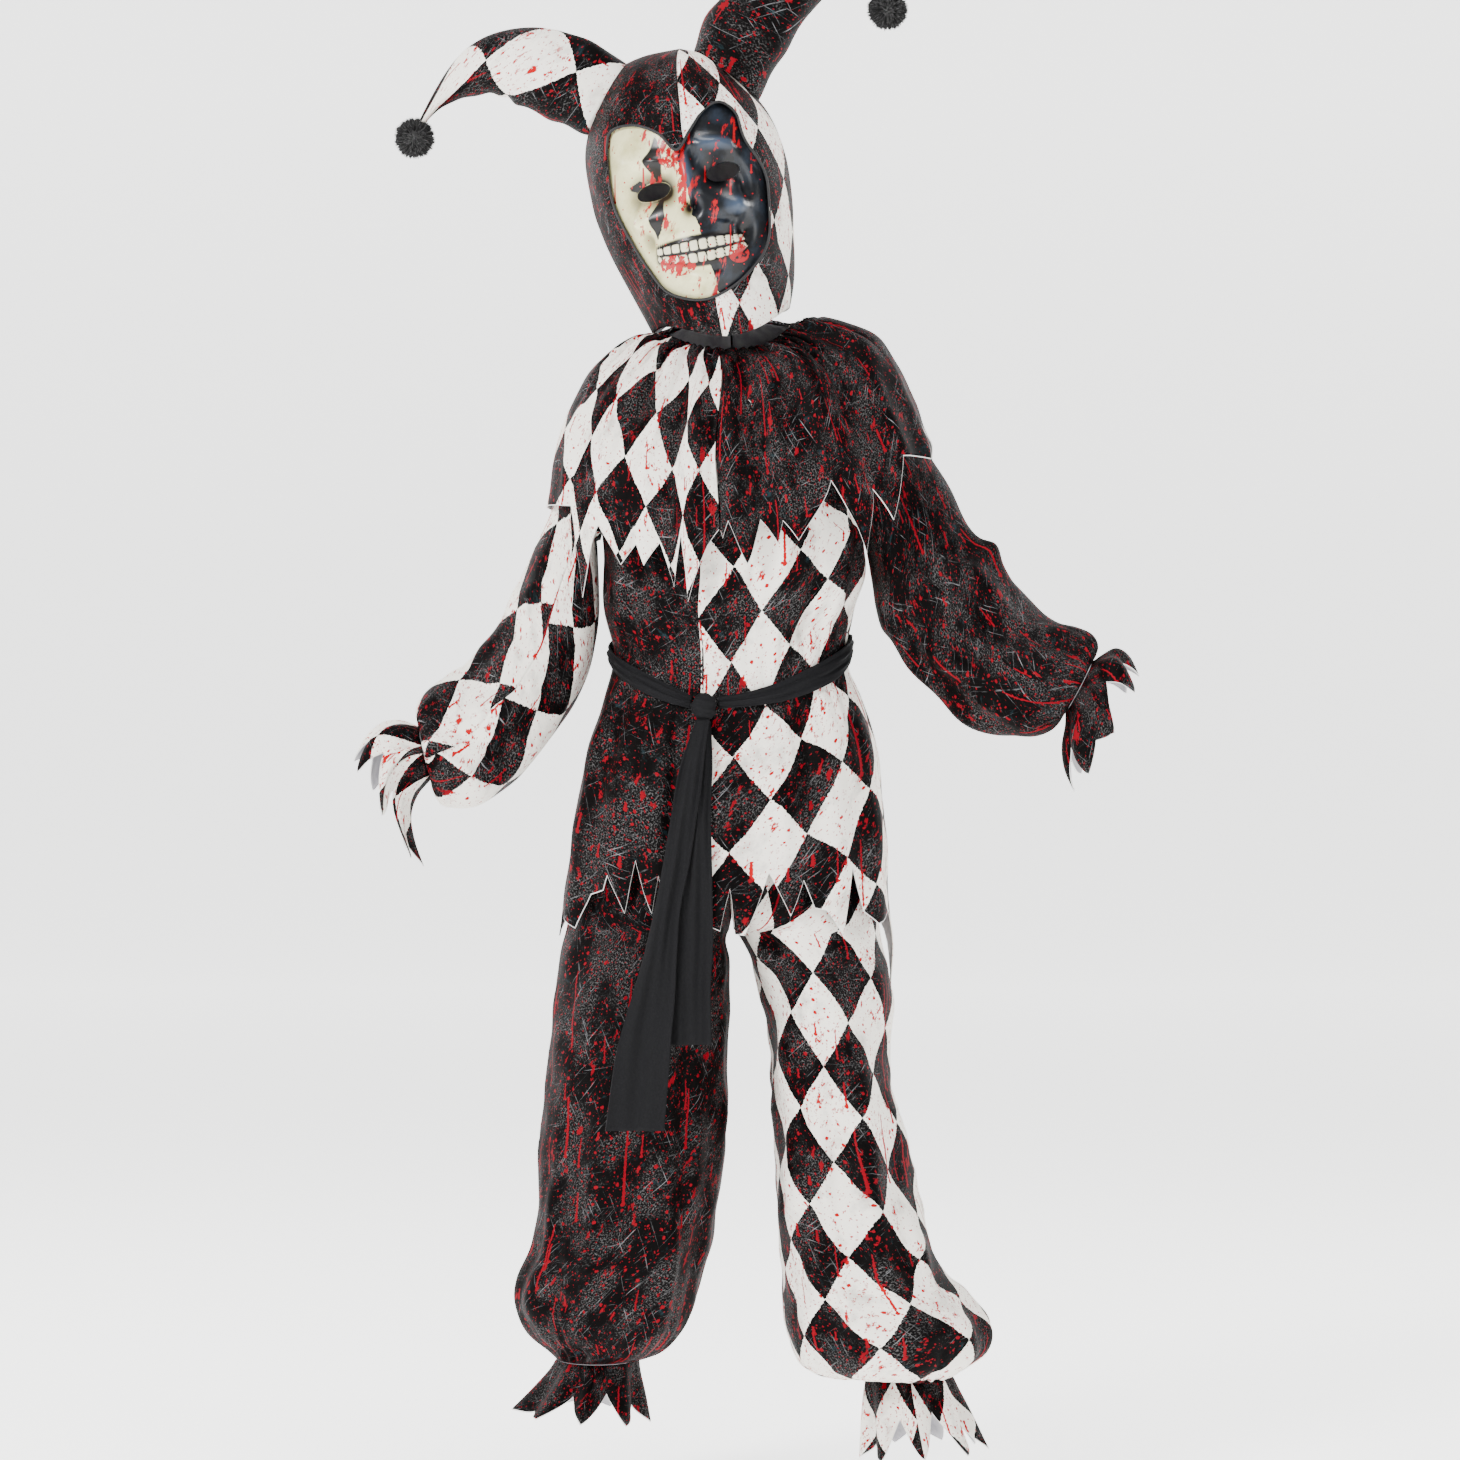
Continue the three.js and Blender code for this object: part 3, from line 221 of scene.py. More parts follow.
def unit(vectors):
    """The vectors, each divided by its length."""
    return vectors / np.maximum(np.linalg.norm(vectors, axis=-1, keepdims=True), 1e-9)


def bells(folds, row, turn):
    """The height of the folds: the sum of height * sin(pi * along) * exp(-(away / width) ** 2).

    along runs from 0 to 1 between a fold's first and last row, and away is the turn from its middle.
    """
    total = np.zeros(np.broadcast(row, turn).shape)
    for middle, first, last, width, height in folds:
        along = np.clip((row - first) / (last - first), 0, 1)
        away = (np.degrees(turn) - middle + 180) % 360 - 180
        total += height * np.sin(np.pi * along) * bell(away, width)
    return total


def tube(rows, roundness, folds=(), straight=False):
    """A tube of cloth: a function of row and turn, both arrays, that gives points in mm.

    The turn is 0 at the front, 90 degrees at the wearer's left and 180 at the back. In plan, each ring
    is |sin| and |cos| to the power 2 / roundness. Its height runs from that of its sides to that of its
    front and back, or is straight from the right edge to the left one. The folds stand out from it.
    """
    def at(row, turn):
        row, turn = np.broadcast_arrays(np.asarray(row, float), np.asarray(turn, float))
        right_x, right_z, left_x, left_z, front_y, front_z, back_y, back_z = np.moveaxis(
            between(rows, row), -1, 0)
        sine, cosine = np.sin(turn), np.cos(turn)
        wide = np.sign(sine) * np.abs(sine) ** (2 / roundness)
        deep = np.sign(cosine) * np.abs(cosine) ** (2 / roundness)
        middle = np.stack([(right_x + left_x) / 2, (front_y + back_y) / 2], -1)
        x = middle[..., 0] + (left_x - right_x) / 2 * wide
        y = middle[..., 1] - (back_y - front_y) / 2 * deep
        level = (right_z * (1 - sine) + left_z * (1 + sine)) / 2
        facing = (front_z * (1 + cosine) + back_z * (1 - cosine)) / 2
        z = level if straight else level * sine ** 2 + facing * cosine ** 2
        centre_z = (right_z + left_z) / 2 if straight else z
        points = np.stack([x, y, z], -1)
        away = unit(points - np.stack([middle[..., 0], middle[..., 1], centre_z], -1))
        return points + away * bells(folds, row, turn)[..., None]
    at.rows, at.roundness = rows, roundness
    return at


def normals_of(points, closed=False):
    """The unit normals of a grid: the slope down its rows crossed with the slope along its columns."""
    wide = np.concatenate([points[:, -1:], points, points[:, :1]], 1) if closed else points
    down, round_it = np.gradient(wide, axis=0), np.gradient(wide, axis=1)
    normal = unit(np.cross(down, round_it))
    return normal[:, 1:-1] if closed else normal


def seen_at(surface, x, z, behind=False):
    """Row and turn of the places seen at x and z from the front, found by halving the rows."""
    x, z = np.asarray(x, float), np.asarray(z, float)

    def turn_at(row):
        rings = between(surface.rows, row)
        half = (rings[..., 2] - rings[..., 0]) / 2
        across = np.clip((x - (rings[..., 0] + rings[..., 2]) / 2) / half, -NEAR_EDGE, NEAR_EDGE)
        turn = np.arcsin(np.sign(across) * np.abs(across) ** (surface.roundness / 2))
        return np.pi - turn if behind else turn

    above, below = np.zeros_like(z), np.full_like(z, len(surface.rows) - 1)
    for _ in range(HALVINGS):
        middle = (above + below) / 2
        high = surface(middle, turn_at(middle))[..., 2] > z
        above, below = np.where(high, middle, above), np.where(high, below, middle)
    row = (above + below) / 2
    return row, turn_at(row)


def creased(points, normals, creases, behind=False):
    """Moves points along their normals at the creases, each a line from one x, z to another in mm.

    The height is height * exp(-(d / width) ** 2) * sin(pi * along) ** 0.7, where d is the distance from
    the line, and it fades where the cloth turns away from the front, or from the back.
    """
    facing = np.clip((normals[..., 1] if behind else -normals[..., 1]) * 1.6 - 0.15, 0, 1)
    lift = np.zeros(points.shape[:-1])
    for x1, z1, x2, z2, width, height in creases:
        line = np.array([x2 - x1, z2 - z1], float)
        place = np.stack([points[..., 0] - x1, points[..., 2] - z1], -1)
        along = (place @ line) / (line @ line)
        off = np.linalg.norm(place - np.clip(along, 0, 1)[..., None] * line, axis=-1)
        taper = np.sin(np.pi * np.clip(along, 0.02, 0.98)) ** 0.7
        lift += height * bell(off, width) * taper
    return points + normals * (lift * facing)[..., None]


def creased_both(points, normals, front, back):
    """Moves points along their normals at the creases of the front, then at those of the back."""
    return creased(creased(points, normals, front), normals, back, behind=True)


def turned_in(creases):
    """The same creases with troughs for ridges, for the side that the photograph doesn't show."""
    return [(*ends, width, -height) for *ends, width, height in creases]


def uneven(points, scale, seed):
    """A smooth uneven field of about -1 to 1: eight waves in space with random directions and phases."""
    random = np.random.default_rng(seed)
    total = np.zeros(points.shape[:-1])
    for _ in range(WAVES):
        direction = random.normal(size=3)
        direction *= 2 * np.pi / (scale * random.uniform(0.6, 1.7) * np.linalg.norm(direction))
        total += np.sin(points @ direction + random.uniform(0, 2 * np.pi))
    return total / 3.2


def gathers(turn, count, seed):
    """Uneven gathers round an edge: count round ridges with sharp troughs, whose spacing wanders."""
    random = np.random.default_rng(seed)
    wander = sum(np.sin(k * turn + random.uniform(0, 7)) for k in (2, 3, 5, 7, 11))
    strength = 0.75 + 0.25 * np.sin(4 * turn + seed)
    return (1.5 * np.abs(np.sin(turn * count / 2 + 0.8 * wander)) - 0.95) * strength


def lengths(points, axis):
    """How far each point of a grid lies along its row or column, measured over the cloth."""
    steps = np.linalg.norm(np.diff(points, axis=axis), axis=-1)
    start = np.zeros_like(np.take(steps, [0], axis=axis))
    return np.concatenate([start, np.cumsum(steps, axis=axis)], axis=axis)


def joined(corners, per):
    """Points on the straight lines through the corners, per of them for each line."""
    places = np.linspace(0, len(corners) - 1, (len(corners) - 1) * per + 1)
    return np.interp(places, np.arange(len(corners)), corners)


def hem_line(surface, front, back, side):
    """The hem's rows and turns from the front seam to the back one, straight between its points."""
    front_row, front_turn = seen_at(surface, *np.transpose(front))
    back_row, back_turn = seen_at(surface, *np.transpose(back), behind=True)
    back_turn = np.where(side < 0, back_turn - 2 * np.pi, back_turn)
    return np.concatenate([front_row, back_row]), np.concatenate([front_turn, back_turn])


def attribute(piece, name, values):
    """Gives each point of a piece a value under a name, which its material reads."""
    layer = piece.data.attributes.new(name, "FLOAT", "POINT")
    layer.data.foreach_set("value", values.reshape(-1).astype(np.float32))


def thickened(piece, wall_mm, inner=0):
    """Thickens a piece inwards. Its inner side's material lies inner places further in its list."""
    wall = piece.modifiers.new("wall", "SOLIDIFY")
    wall.thickness = wall_mm * MM
    wall.offset = -1
    wall.material_offset = inner


def sewn(name, points, cloth, raw_hem=True, closed=False):
    """A cloth piece over a grid of points in mm, whose rows run down and whose turn grows rightwards.

    Its print is laid by the lengths over the cloth, in metres: along the middle row, and down each
    column. The attribute hem is the distance from the last row, and is large where it isn't cut raw.
    cloth is the print's material and its slot.
    """
    main, slot = cloth
    if closed:
        points = np.concatenate([points, points[:, :1]], 1)
    down = lengths(points, 0)
    along = np.broadcast_to(lengths(points, 1)[len(points) // 2], down.shape)
    piece = grid_mesh(name, points * MM, np.stack([along, down], -1) * MM)
    attribute(piece, "hem", (down[-1:] - down) * MM if raw_hem else np.ones_like(down))
    for layer in (main, cloth_reverse):
        piece.data.materials.append(layer)
    thickened(piece, CLOTH_WALL_MM, 1)
    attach(piece, "root")
    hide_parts(name[:-len("_cloth")])
    return piece


MATH = "ShaderNodeMath"
CREAM = "#F0EBE1"
PRINT_BLACK = "#050404"
SPECKLE_GREY = "#4A4949"
SCRATCH_GREY = "#77787B"
RED_ON_LIGHT = "#A0020E"
RED_ON_BLACK = "#780515"
TEAL_SHADOW = "#1B2E33"
SMUDGE_GREY = "#8F8A84"
THREAD_WHITE = "#DAD8D6"
CUT_EDGE_M = 0.0007
# Long pale scratches: the width and length in metres, the turn, the noise's low and high, a seed.
SCRATCHES = [
    (0.0016, 0.060, 0.75, 0.65, 0.70, 8.0), (0.0016, 0.075, -0.45, 0.66, 0.71, 17.0),
    (0.0018, 0.055, 1.45, 0.67, 0.72, 27.0),
]
# Long drips, short drips, spots and specks: the cell's width and height, the drop's radius and the
# tail's length in metres, the share of cells that have one, and a seed.
DRIPS = [
    (0.034, 0.12, 0.0030, 0.11, 0.42, 4.0), (0.022, 0.05, 0.0024, 0.035, 0.42, 11.0),
    (0.014, 0.014, 0.0020, 0.001, 0.5, 23.0), (0.005, 0.005, 0.0008, 0.001, 0.5, 31.0),
]


def cells(tree, place, wide, tall, seed):
    """Scattered cells of about wide by tall metres: x and y from each cell's point, and two randoms."""
    spaced = node(tree, "ShaderNodeVectorMath", {"operation": "MULTIPLY_ADD"}, {
        0: place, 1: (1 / wide, 1 / tall, 0), 2: (seed, seed * 1.7, 0)})
    cell = node(tree, "ShaderNodeTexVoronoi", {"voronoi_dimensions": "2D"}, {
        "Vector": spaced, "Scale": 1.0, "Randomness": 0.9})
    apart = node(tree, "ShaderNodeVectorMath", {"operation": "SUBTRACT"}, {
        0: spaced, 1: cell.outputs["Position"]})
    local = node(tree, "ShaderNodeVectorMath", {"operation": "MULTIPLY"}, {0: apart, 1: (wide, tall, 0)})
    axes = node(tree, "ShaderNodeSeparateXYZ", None, {0: local})
    random = node(tree, "ShaderNodeSeparateColor", None, {0: cell.outputs["Color"]})
    return axes.outputs[0], axes.outputs[1], random.outputs[0], random.outputs[1]


def drips(tree, place, wide, tall, radius, length, share, seed):
    """A mask of printed drips: a round drop with a thinner tail above it, in some of the cells.

    The drop's radius is radius * (random + 0.4). The tail is up to length long, and half its width is
    0.62 of that radius at its foot and 0.27 of it a whole length above.
    """
    x, y, first, second = cells(tree, place, wide, tall, seed)
    reach = node(tree, MATH, "MULTIPLY_ADD", [first, radius, radius * 0.4])
    across = node(tree, MATH, "ABSOLUTE", [x])
    squared = node(tree, MATH, "MULTIPLY", [x, x])
    distance = node(tree, MATH, "MULTIPLY_ADD", [y, y, squared])
    distance = node(tree, MATH, "SQRT", [distance])
    drop = node(tree, MATH, "LESS_THAN", [distance, reach])
    up = node(tree, MATH, "DIVIDE", [y, -length])
    taper = node(tree, MATH, "MULTIPLY_ADD", [up, -0.35, 0.62])
    narrow = node(tree, MATH, "MULTIPLY", [reach, taper])
    inside = node(tree, MATH, "LESS_THAN", [across, narrow])
    above = node(tree, MATH, "GREATER_THAN", [up, 0.0])
    below = node(tree, MATH, "LESS_THAN", [up, second])
    tail = node(tree, MATH, "MULTIPLY", [inside, above])
    tail = node(tree, MATH, "MULTIPLY", [tail, below])
    shape = node(tree, MATH, "MAXIMUM", [drop, tail])
    chosen = node(tree, MATH, "LESS_THAN", [first, share])
    return node(tree, MATH, "MULTIPLY", [shape, chosen])


def marks(tree, place, wide, long, turn, low, high, seed):
    """A mask of marks about wide by long metres, turned from upright: noise raised over low to high."""
    turned = node(tree, "ShaderNodeMapping", {"vector_type": "TEXTURE"}, {
        "Vector": place, "Location": (seed, seed, 0), "Rotation": (0, 0, turn),
        "Scale": (wide, long, 1)})
    noise = node(tree, "ShaderNodeTexNoise", {"noise_dimensions": "2D"}, {
        "Vector": turned, "Scale": 1.0, "Detail": 6.0, "Roughness": 0.65})
    return node(tree, "ShaderNodeMapRange", {"clamp": True}, {0: noise, 1: low, 2: high})


def layered(tree, under, over, mask):
    """One colour laid over another one through a mask."""
    return node(tree, "ShaderNodeMix", {"data_type": "RGBA"}, {0: mask, 6: under, 7: over}).outputs[2]


def greater(tree, *masks):
    """The greatest of several masks at each point."""
    total = masks[0]
    for mask in masks[1:]:
        total = node(tree, MATH, "MAXIMUM", [total, mask])
    return total


def printed_cloth(name, diamond=None):
    """Thin printed polyester: worn black, or diamonds in black and cream, with printed red drips.

    diamond is the width and height in metres of one diamond, or None where the cloth is all black. The
    cream ones are the cells in which floor(u / w + v / h) + floor(u / w - v / h) is odd.
    """
    made, tree, shader = material(name, {"Roughness": 0.6, "Specular IOR Level": 0.04})
    place = node(tree, "ShaderNodeUVMap", {"uv_map": "cloth"}).outputs[0]
    rough = node(tree, "ShaderNodeTexNoise", {"noise_dimensions": "2D"}, {
        "Vector": place, "Scale": 420.0, "Detail": 3.0})
    shift = node(tree, "ShaderNodeVectorMath", {"operation": "MULTIPLY_ADD"}, {
        0: rough.outputs["Color"], 1: (0.0022, 0.0022, 0), 2: place})
    # Fine specks and crossed scratches, where the black is worn.
    patches = marks(tree, place, 0.045, 0.060, 0.5, 0.46, 0.60, 3.0)
    speckle = marks(tree, place, 0.0014, 0.0018, 0.5, 0.52, 0.60, 5.0)
    speckle = node(tree, MATH, "MULTIPLY", [speckle, patches])
    scratches = greater(tree, *(marks(tree, place, *scratch) for scratch in SCRATCHES))
    worn = marks(tree, place, 0.030, 0.040, 1.1, 0.40, 0.62, 37.0)
    scratches = node(tree, MATH, "MULTIPLY", [scratches, worn])
    black = layered(tree, linear(PRINT_BLACK), linear(SPECKLE_GREY), speckle)
    black = layered(tree, black, linear(SCRATCH_GREY), scratches)
    teal = marks(tree, shift, 0.016, 0.020, 1.4, 0.64, 0.80, 29.0)
    black = layered(tree, black, linear(TEAL_SHADOW), teal)
    # Red drips, spots, smears and splatter.
    smears = marks(tree, shift, 0.013, 0.030, 0.3, 0.655, 0.68, 41.0)
    splatter = marks(tree, shift, 0.0040, 0.0052, 0.9, 0.66, 0.69, 47.0)
    blood = greater(tree, *(drips(tree, shift, *drip) for drip in DRIPS), smears, splatter)
    colour = layered(tree, black, linear(RED_ON_BLACK), blood)
    if diamond:
        # The cream diamonds, with grey smudges and bursts of red.
        axes = node(tree, "ShaderNodeSeparateXYZ", None, {0: shift})
        across = node(tree, MATH, "DIVIDE", [axes.outputs[0], diamond[0]])
        down = node(tree, MATH, "DIVIDE", [axes.outputs[1], diamond[1]])
        rising = node(tree, MATH, "ADD", [across, down])
        falling = node(tree, MATH, "SUBTRACT", [across, down])
        rising = node(tree, MATH, "FLOOR", [rising])
        falling = node(tree, MATH, "FLOOR", [falling])
        count = node(tree, MATH, "ADD", [rising, falling])
        light = node(tree, MATH, "FLOORED_MODULO", [count, 2.0])
        smudges = marks(tree, shift, 0.033, 0.041, 0.3, 0.52, 0.9, 51.0)
        cream = layered(tree, linear(CREAM), linear(SMUDGE_GREY), smudges)
        burst = marks(tree, shift, 0.0050, 0.0085, 0.5, 0.60, 0.62, 61.0)
        zones = marks(tree, place, 0.080, 0.120, 0.2, 0.50, 0.56, 67.0)
        burst = node(tree, MATH, "MULTIPLY", [burst, zones])
        cream = layered(tree, cream, linear(RED_ON_LIGHT), greater(tree, blood, burst))
        colour = layered(tree, colour, cream, light)
    # The white threads of the raw hem.
    hem = node(tree, "ShaderNodeAttribute", {"attribute_name": "hem"}).outputs["Fac"]
    cut = node(tree, MATH, "LESS_THAN", [hem, CUT_EDGE_M])
    colour = layered(tree, colour, linear(THREAD_WHITE), cut)
    tree.links.new(colour, shader.inputs["Base Color"])
    weave = node(tree, "ShaderNodeTexNoise", {"noise_dimensions": "2D"}, {
        "Vector": place, "Scale": 260.0, "Detail": 4.0})
    bump = node(tree, "ShaderNodeBump", None, {"Strength": 0.22, "Distance": 0.0012, "Height": weave})
    tree.links.new(bump.outputs[0], shader.inputs["Normal"])
    return made


# Each print comes with the slot of its cloth. It lies on one face only: the reverse is the grey of
# undyed polyester with the print showing faintly through.
black_print = (printed_cloth("black_print_cloth"), "black_print_cloth")
diamond_print = (printed_cloth("diamond_print_cloth", (0.061, 0.090)), "diamond_print_cloth")
cloth_reverse, tree, shader = material("cloth_reverse", {"Roughness": 0.8})
place = node(tree, "ShaderNodeUVMap", {"uv_map": "cloth"}).outputs[0]
faint = marks(tree, place, 0.033, 0.047, 0.5, 0.45, 0.7, 5.0)
tree.links.new(layered(tree, linear("#A9A7AA"), linear("#86848A"), faint), shader.inputs["Base Color"])


# The hems' corners from one seam to the next, in x and z as seen from the front, in mm.
CAPE_HEM_RIGHT_FRONT = [
    (-6, -185), (-16, -200), (-34, -252), (-40, -190), (-47, -238), (-60, -197), (-74, -218),
    (-81, -198), (-97, -217), (-116, -180), (-133, -247), (-143, -161), (-163, -159),
]
CAPE_HEM_RIGHT_BACK = [
    (-165, -160), (-156, -144), (-140, -222), (-122, -172), (-104, -232), (-84, -186),
    (-64, -224), (-44, -190), (-26, -246), (-8, -192),
]
CAPE_HEM_LEFT_FRONT = [
    (-5, -186), (-2, -193), (3, -177), (21, -217), (33, -176), (49, -198), (53, -177), (68, -195),
    (97, -139), (131, -206), (134, -147), (157, -175), (161, -115), (190, -116), (184, -82),
]
CAPE_HEM_LEFT_BACK = [
    (196, -128), (184, -104), (160, -186), (142, -138), (122, -214), (100, -168), (78, -236),
    (56, -182), (34, -226), (16, -186), (2, -232), (-7, -192),
]
CAPE_FRONT_SEAM = np.radians(-4.4)
SEAM_TURN = 0.003
CAPE_LEVELS = 64
CAPE_PER_TOOTH = 12
NECK_BAND_MM = 8
NECK_GATHERS = 62
NECK_GATHER_MM = 2.4
SKIRT_REACH_MM = 125
SKIRT_GATHERS = 30
SKIRT_GATHER_MM = 7.5
BAND_STITCH_MM = 3
BAND_DIP_MM = 1.6
CAPE_DRAPE_MM = 1.2
CAPE_DRAPE_WIDE_MM = 55
# Creases that run down from the gathers: two ends in x and z, width and height in mm.
CAPE_CREASES = [
    (-58, -25, -120, -150, 7, -5.1), (-46, -34, -92, -170, 6, 4.4), (-34, -40, -58, -185, 6, -5.1),
    (-20, -44, -36, -215, 6, 4.1), (-8, -46, -14, -180, 4, -4.4), (6, -46, 12, -190, 6, 4.4),
    (20, -44, 38, -165, 6, -5.1), (34, -40, 66, -180, 6, 4.4), (48, -34, 96, -130, 7, -5.1),
    (62, -24, 132, -150, 7, 4.4), (74, -12, 158, -110, 7, -5.1), (-72, -16, -146, -110, 7, 4.4),
]
CAPE_BACK_CREASES = [
    (-52, 10, -110, -170, 7, -5.1), (-30, 16, -66, -190, 6, 4.8), (-10, 20, -20, -180, 6, -4.8),
    (14, 22, 30, -190, 7, 4.8), (34, 22, 76, -200, 6, -5.1), (56, 18, 124, -180, 7, 4.8),
]
cape_tube = tube(CAPE, CAPE_ROUND, CAPE_FOLDS)


def cape_half(front, back, side):
    """One half of the cape in mm: its rows run from the neck to the hem."""
    hem_row, turn = hem_line(cape_tube, front, back, side)
    turn[0] = CAPE_FRONT_SEAM + side * SEAM_TURN
    turn[-1] = side * (np.pi - SEAM_TURN)
    hem_row = joined(hem_row, CAPE_PER_TOOTH)[::side]
    turn = joined(turn, CAPE_PER_TOOTH)[::side]
    level = np.linspace(0, 1, CAPE_LEVELS)[:, None] ** 1.15
    points = cape_tube(level * hem_row, turn)
    down = lengths(points, 0)
    band = bell(down, NECK_BAND_MM)
    skirt = np.clip(1 - down / SKIRT_REACH_MM, 0, 1) ** 1.1 * (1 - band)
    lift = NECK_GATHER_MM * gathers(turn, NECK_GATHERS, 2) * band
    lift = lift + SKIRT_GATHER_MM * (gathers(turn, SKIRT_GATHERS, 5) + 0.4) * skirt
    lift -= BAND_DIP_MM * bell(down - NECK_BAND_MM - BAND_STITCH_MM, BAND_STITCH_MM)
    lift += CAPE_DRAPE_MM * uneven(points, CAPE_DRAPE_WIDE_MM, 4) * np.clip(down / 60, 0, 1)
    normals = normals_of(points)
    points = points + normals * lift[..., None]
    return creased_both(points, normals, CAPE_CREASES, CAPE_BACK_CREASES)


# Each half is a part of a ring, cut 250 mm deep, that flares from the neck to the hem.
sewn("cape_right_cloth", cape_half(CAPE_HEM_RIGHT_FRONT, CAPE_HEM_RIGHT_BACK, -1), diamond_print)
sewn("cape_left_cloth", cape_half(CAPE_HEM_LEFT_FRONT, CAPE_HEM_LEFT_BACK, 1), black_print)


# Tunic: four panels of the same cloth, joined down the middle of the front and back and at the sides,
# where they leave round armholes. Its hem is cut to a zigzag and left raw, and the sash draws it in.
TUNIC = np.array([
    (-62.3, 4, 70.3, 18, -49.3, -13, 49.3, 24),
    (-88, -11, 100, 2, -62, -28, 62, 8),
    (-108, -25, 122, -13, -76, -47, 76, -16),
    (-117, -41, 132, -31, -86, -68, 86, -42),
    (-120, -61, 134, -53, -91, -88, 92, -68),
    (-120, -91, 134, -85, -94, -110, 95, -98),
    (-119, -125, 133, -120, -95, -132, 96, -128),
    (-118, -160, 132, -158, -95, -162, 95, -162),
    (-117, -195, 132, -195, -94, -195, 94, -195),
    (-116, -226, 131, -226, -92, -226, 92, -226),
    (-114, -258, 122, -258, -89, -258, 90, -258),
    (-106, -292, 116, -288, -86, -300, 87, -284),
    (-107, -314, 117, -310, -88, -330, 88, -304),
    (-116, -345, 129, -342, -92, -352, 94, -338),
    (-129, -385, 143, -385, -101, -388, 104, -383),
    (-138, -430, 148, -430, -108, -430, 111, -430),
    (-146, -480, 152, -480, -113, -480, 116, -480),
    (-152, -530, 156, -530, -116, -530, 119, -530),
    (-159, -580, 158, -580, -117, -580, 121, -580),
    (-163, -640, 160, -640, -118, -640, 122, -640),
], float)
TUNIC_FOLDS = [
    (-52, 6, 11, 9, 5), (-22, 7, 11.5, 8, 3.5), (24, 6, 11.5, 8, 4), (52, 5, 11, 8, 6),
    (70, 6, 11, 6, 5), (112, 6, 11, 9, 5), (150, 6, 11, 9, 5), (-150, 6, 11, 9, 5),
    (-115, 6, 11, 9, 5), (-68, 12, 19, 8, 6), (-40, 12, 18, 8, 5), (-20, 12, 19, 7, 4),
    (14, 12, 18, 7, 4), (36, 12, 19, 8, 6), (64, 12, 19, 8, 6), (105, 12, 19, 9, 6),
    (140, 12, 19, 9, 6), (172, 12, 19, 9, 5), (-140, 12, 19, 9, 6),
]
TUNIC_HEM_RIGHT_FRONT = [
    (-14, -536), (-32, -530), (-50, -548), (-60, -506), (-66, -541), (-74, -520), (-82, -492),
    (-93, -541), (-106, -506), (-112, -520), (-126, -524), (-140, -556), (-149, -534),
]
TUNIC_HEM_RIGHT_BACK = [
    (-150, -566), (-134, -528), (-112, -570), (-90, -526), (-66, -576), (-44, -530), (-22, -568),
    (-2, -534),
]
TUNIC_HEM_LEFT_FRONT = [
    (-13, -538), (-5, -557), (4, -518), (9, -560), (18, -561), (40, -503), (60, -543), (73, -510),
    (83, -536), (93, -538), (108, -562), (118, -498), (130, -540), (142, -552), (150, -536),
]
TUNIC_HEM_LEFT_BACK = [
    (154, -632), (142, -540), (120, -574), (98, -530), (76, -578), (54, -528), (30, -566),
    (8, -534),
]
TUNIC_FRONT_SEAM = np.radians(-9.4)
TUNIC_SEAM_TURN = 0.0018
BODY_ROUND = 2.6
ARMHOLE_HALF_Y = 50
ARMHOLE_HALF_Z = 74
ARMHOLE_Z = {-1: -112, 1: -110}
SKIRT_START_ROW = 15.6
SKIRT_LEVELS = 18
PANEL_PER_TOOTH = 7
YOKE_LEVELS = 9
ARMHOLE_LEVELS = 26
WAIST_LEVELS = 44
WAIST_GATHERS = 40
WAIST_GATHER_MM = 2.6
SASH_HOLDS_MM = 17
SASH_DRAWS_MM = 48
UNDER_CAPE_Z = -60
TUNIC_DRAPE_MM = 1.5
TUNIC_DRAPE_WIDE_MM = 70
SEAM_WIDE_DEGREES = 1.3
# Creases: two ends in x and z, width and height in mm. Those at the sash fan out from it.
TUNIC_CREASES = [
    (-84, -300, -96, -210, 6, -4.8), (-62, -310, -70, -200, 6, 3.9), (-40, -322, -44, -230, 5, -3.6),
    (20, -330, 30, -200, 6, -3.9), (44, -316, 60, -190, 6, 4.5), (66, -304, 92, -200, 6, -5.1),
    (88, -296, 116, -220, 6, 4.2), (-90, -322, -116, -420, 8, -5.4), (-66, -334, -84, -470, 8, 4.5),
    (-42, -346, -54, -500, 6, -4.2), (14, -352, 20, -520, 8, -4.5), (40, -338, 58, -500, 8, 4.8),
    (64, -326, 92, -480, 8, -5.4), (90, -314, 128, -430, 8, 4.8), (-108, -240, -60, -262, 9, 3.3),
    (120, -236, 60, -262, 9, 3.6), (-100, -262, -40, -286, 6, -3.0), (112, -262, 44, -290, 6, -3.3),
]
TUNIC_BACK_CREASES = [
    (-86, -294, -98, -200, 6, -4.5), (-58, -292, -64, -190, 6, 3.9), (-26, -290, -30, -210, 6, -3.6),
    (18, -290, 24, -200, 6, 3.9), (48, -292, 60, -190, 6, -4.5), (78, -294, 98, -210, 6, 3.9),
    (-88, -310, -118, -440, 8, 4.8), (-60, -306, -78, -480, 8, -4.8), (-28, -304, -34, -500, 8, 4.2),
    (14, -304, 18, -480, 8, -4.2), (46, -306, 62, -490, 8, 4.8), (78, -308, 106, -450, 8, -4.8),
]
# The line that the sash takes round the waist: the turn in degrees, its height and its width in mm.
SASH_PATH = np.array([
    (-196, -284, 20), (-150, -284, 21), (-110, -291, 17), (-88, -297, 14), (-66, -309, 16),
    (-45, -322, 18), (-28, -334, 17), (-12, -346, 12), (-3, -346, 11), (16, -337, 18),
    (32, -326, 22), (52, -313, 24), (74, -299, 22), (92, -290, 21), (120, -286, 21), (163.9, -284, 20),
], float)
tunic_tube = tube(TUNIC, BODY_ROUND, TUNIC_FOLDS)


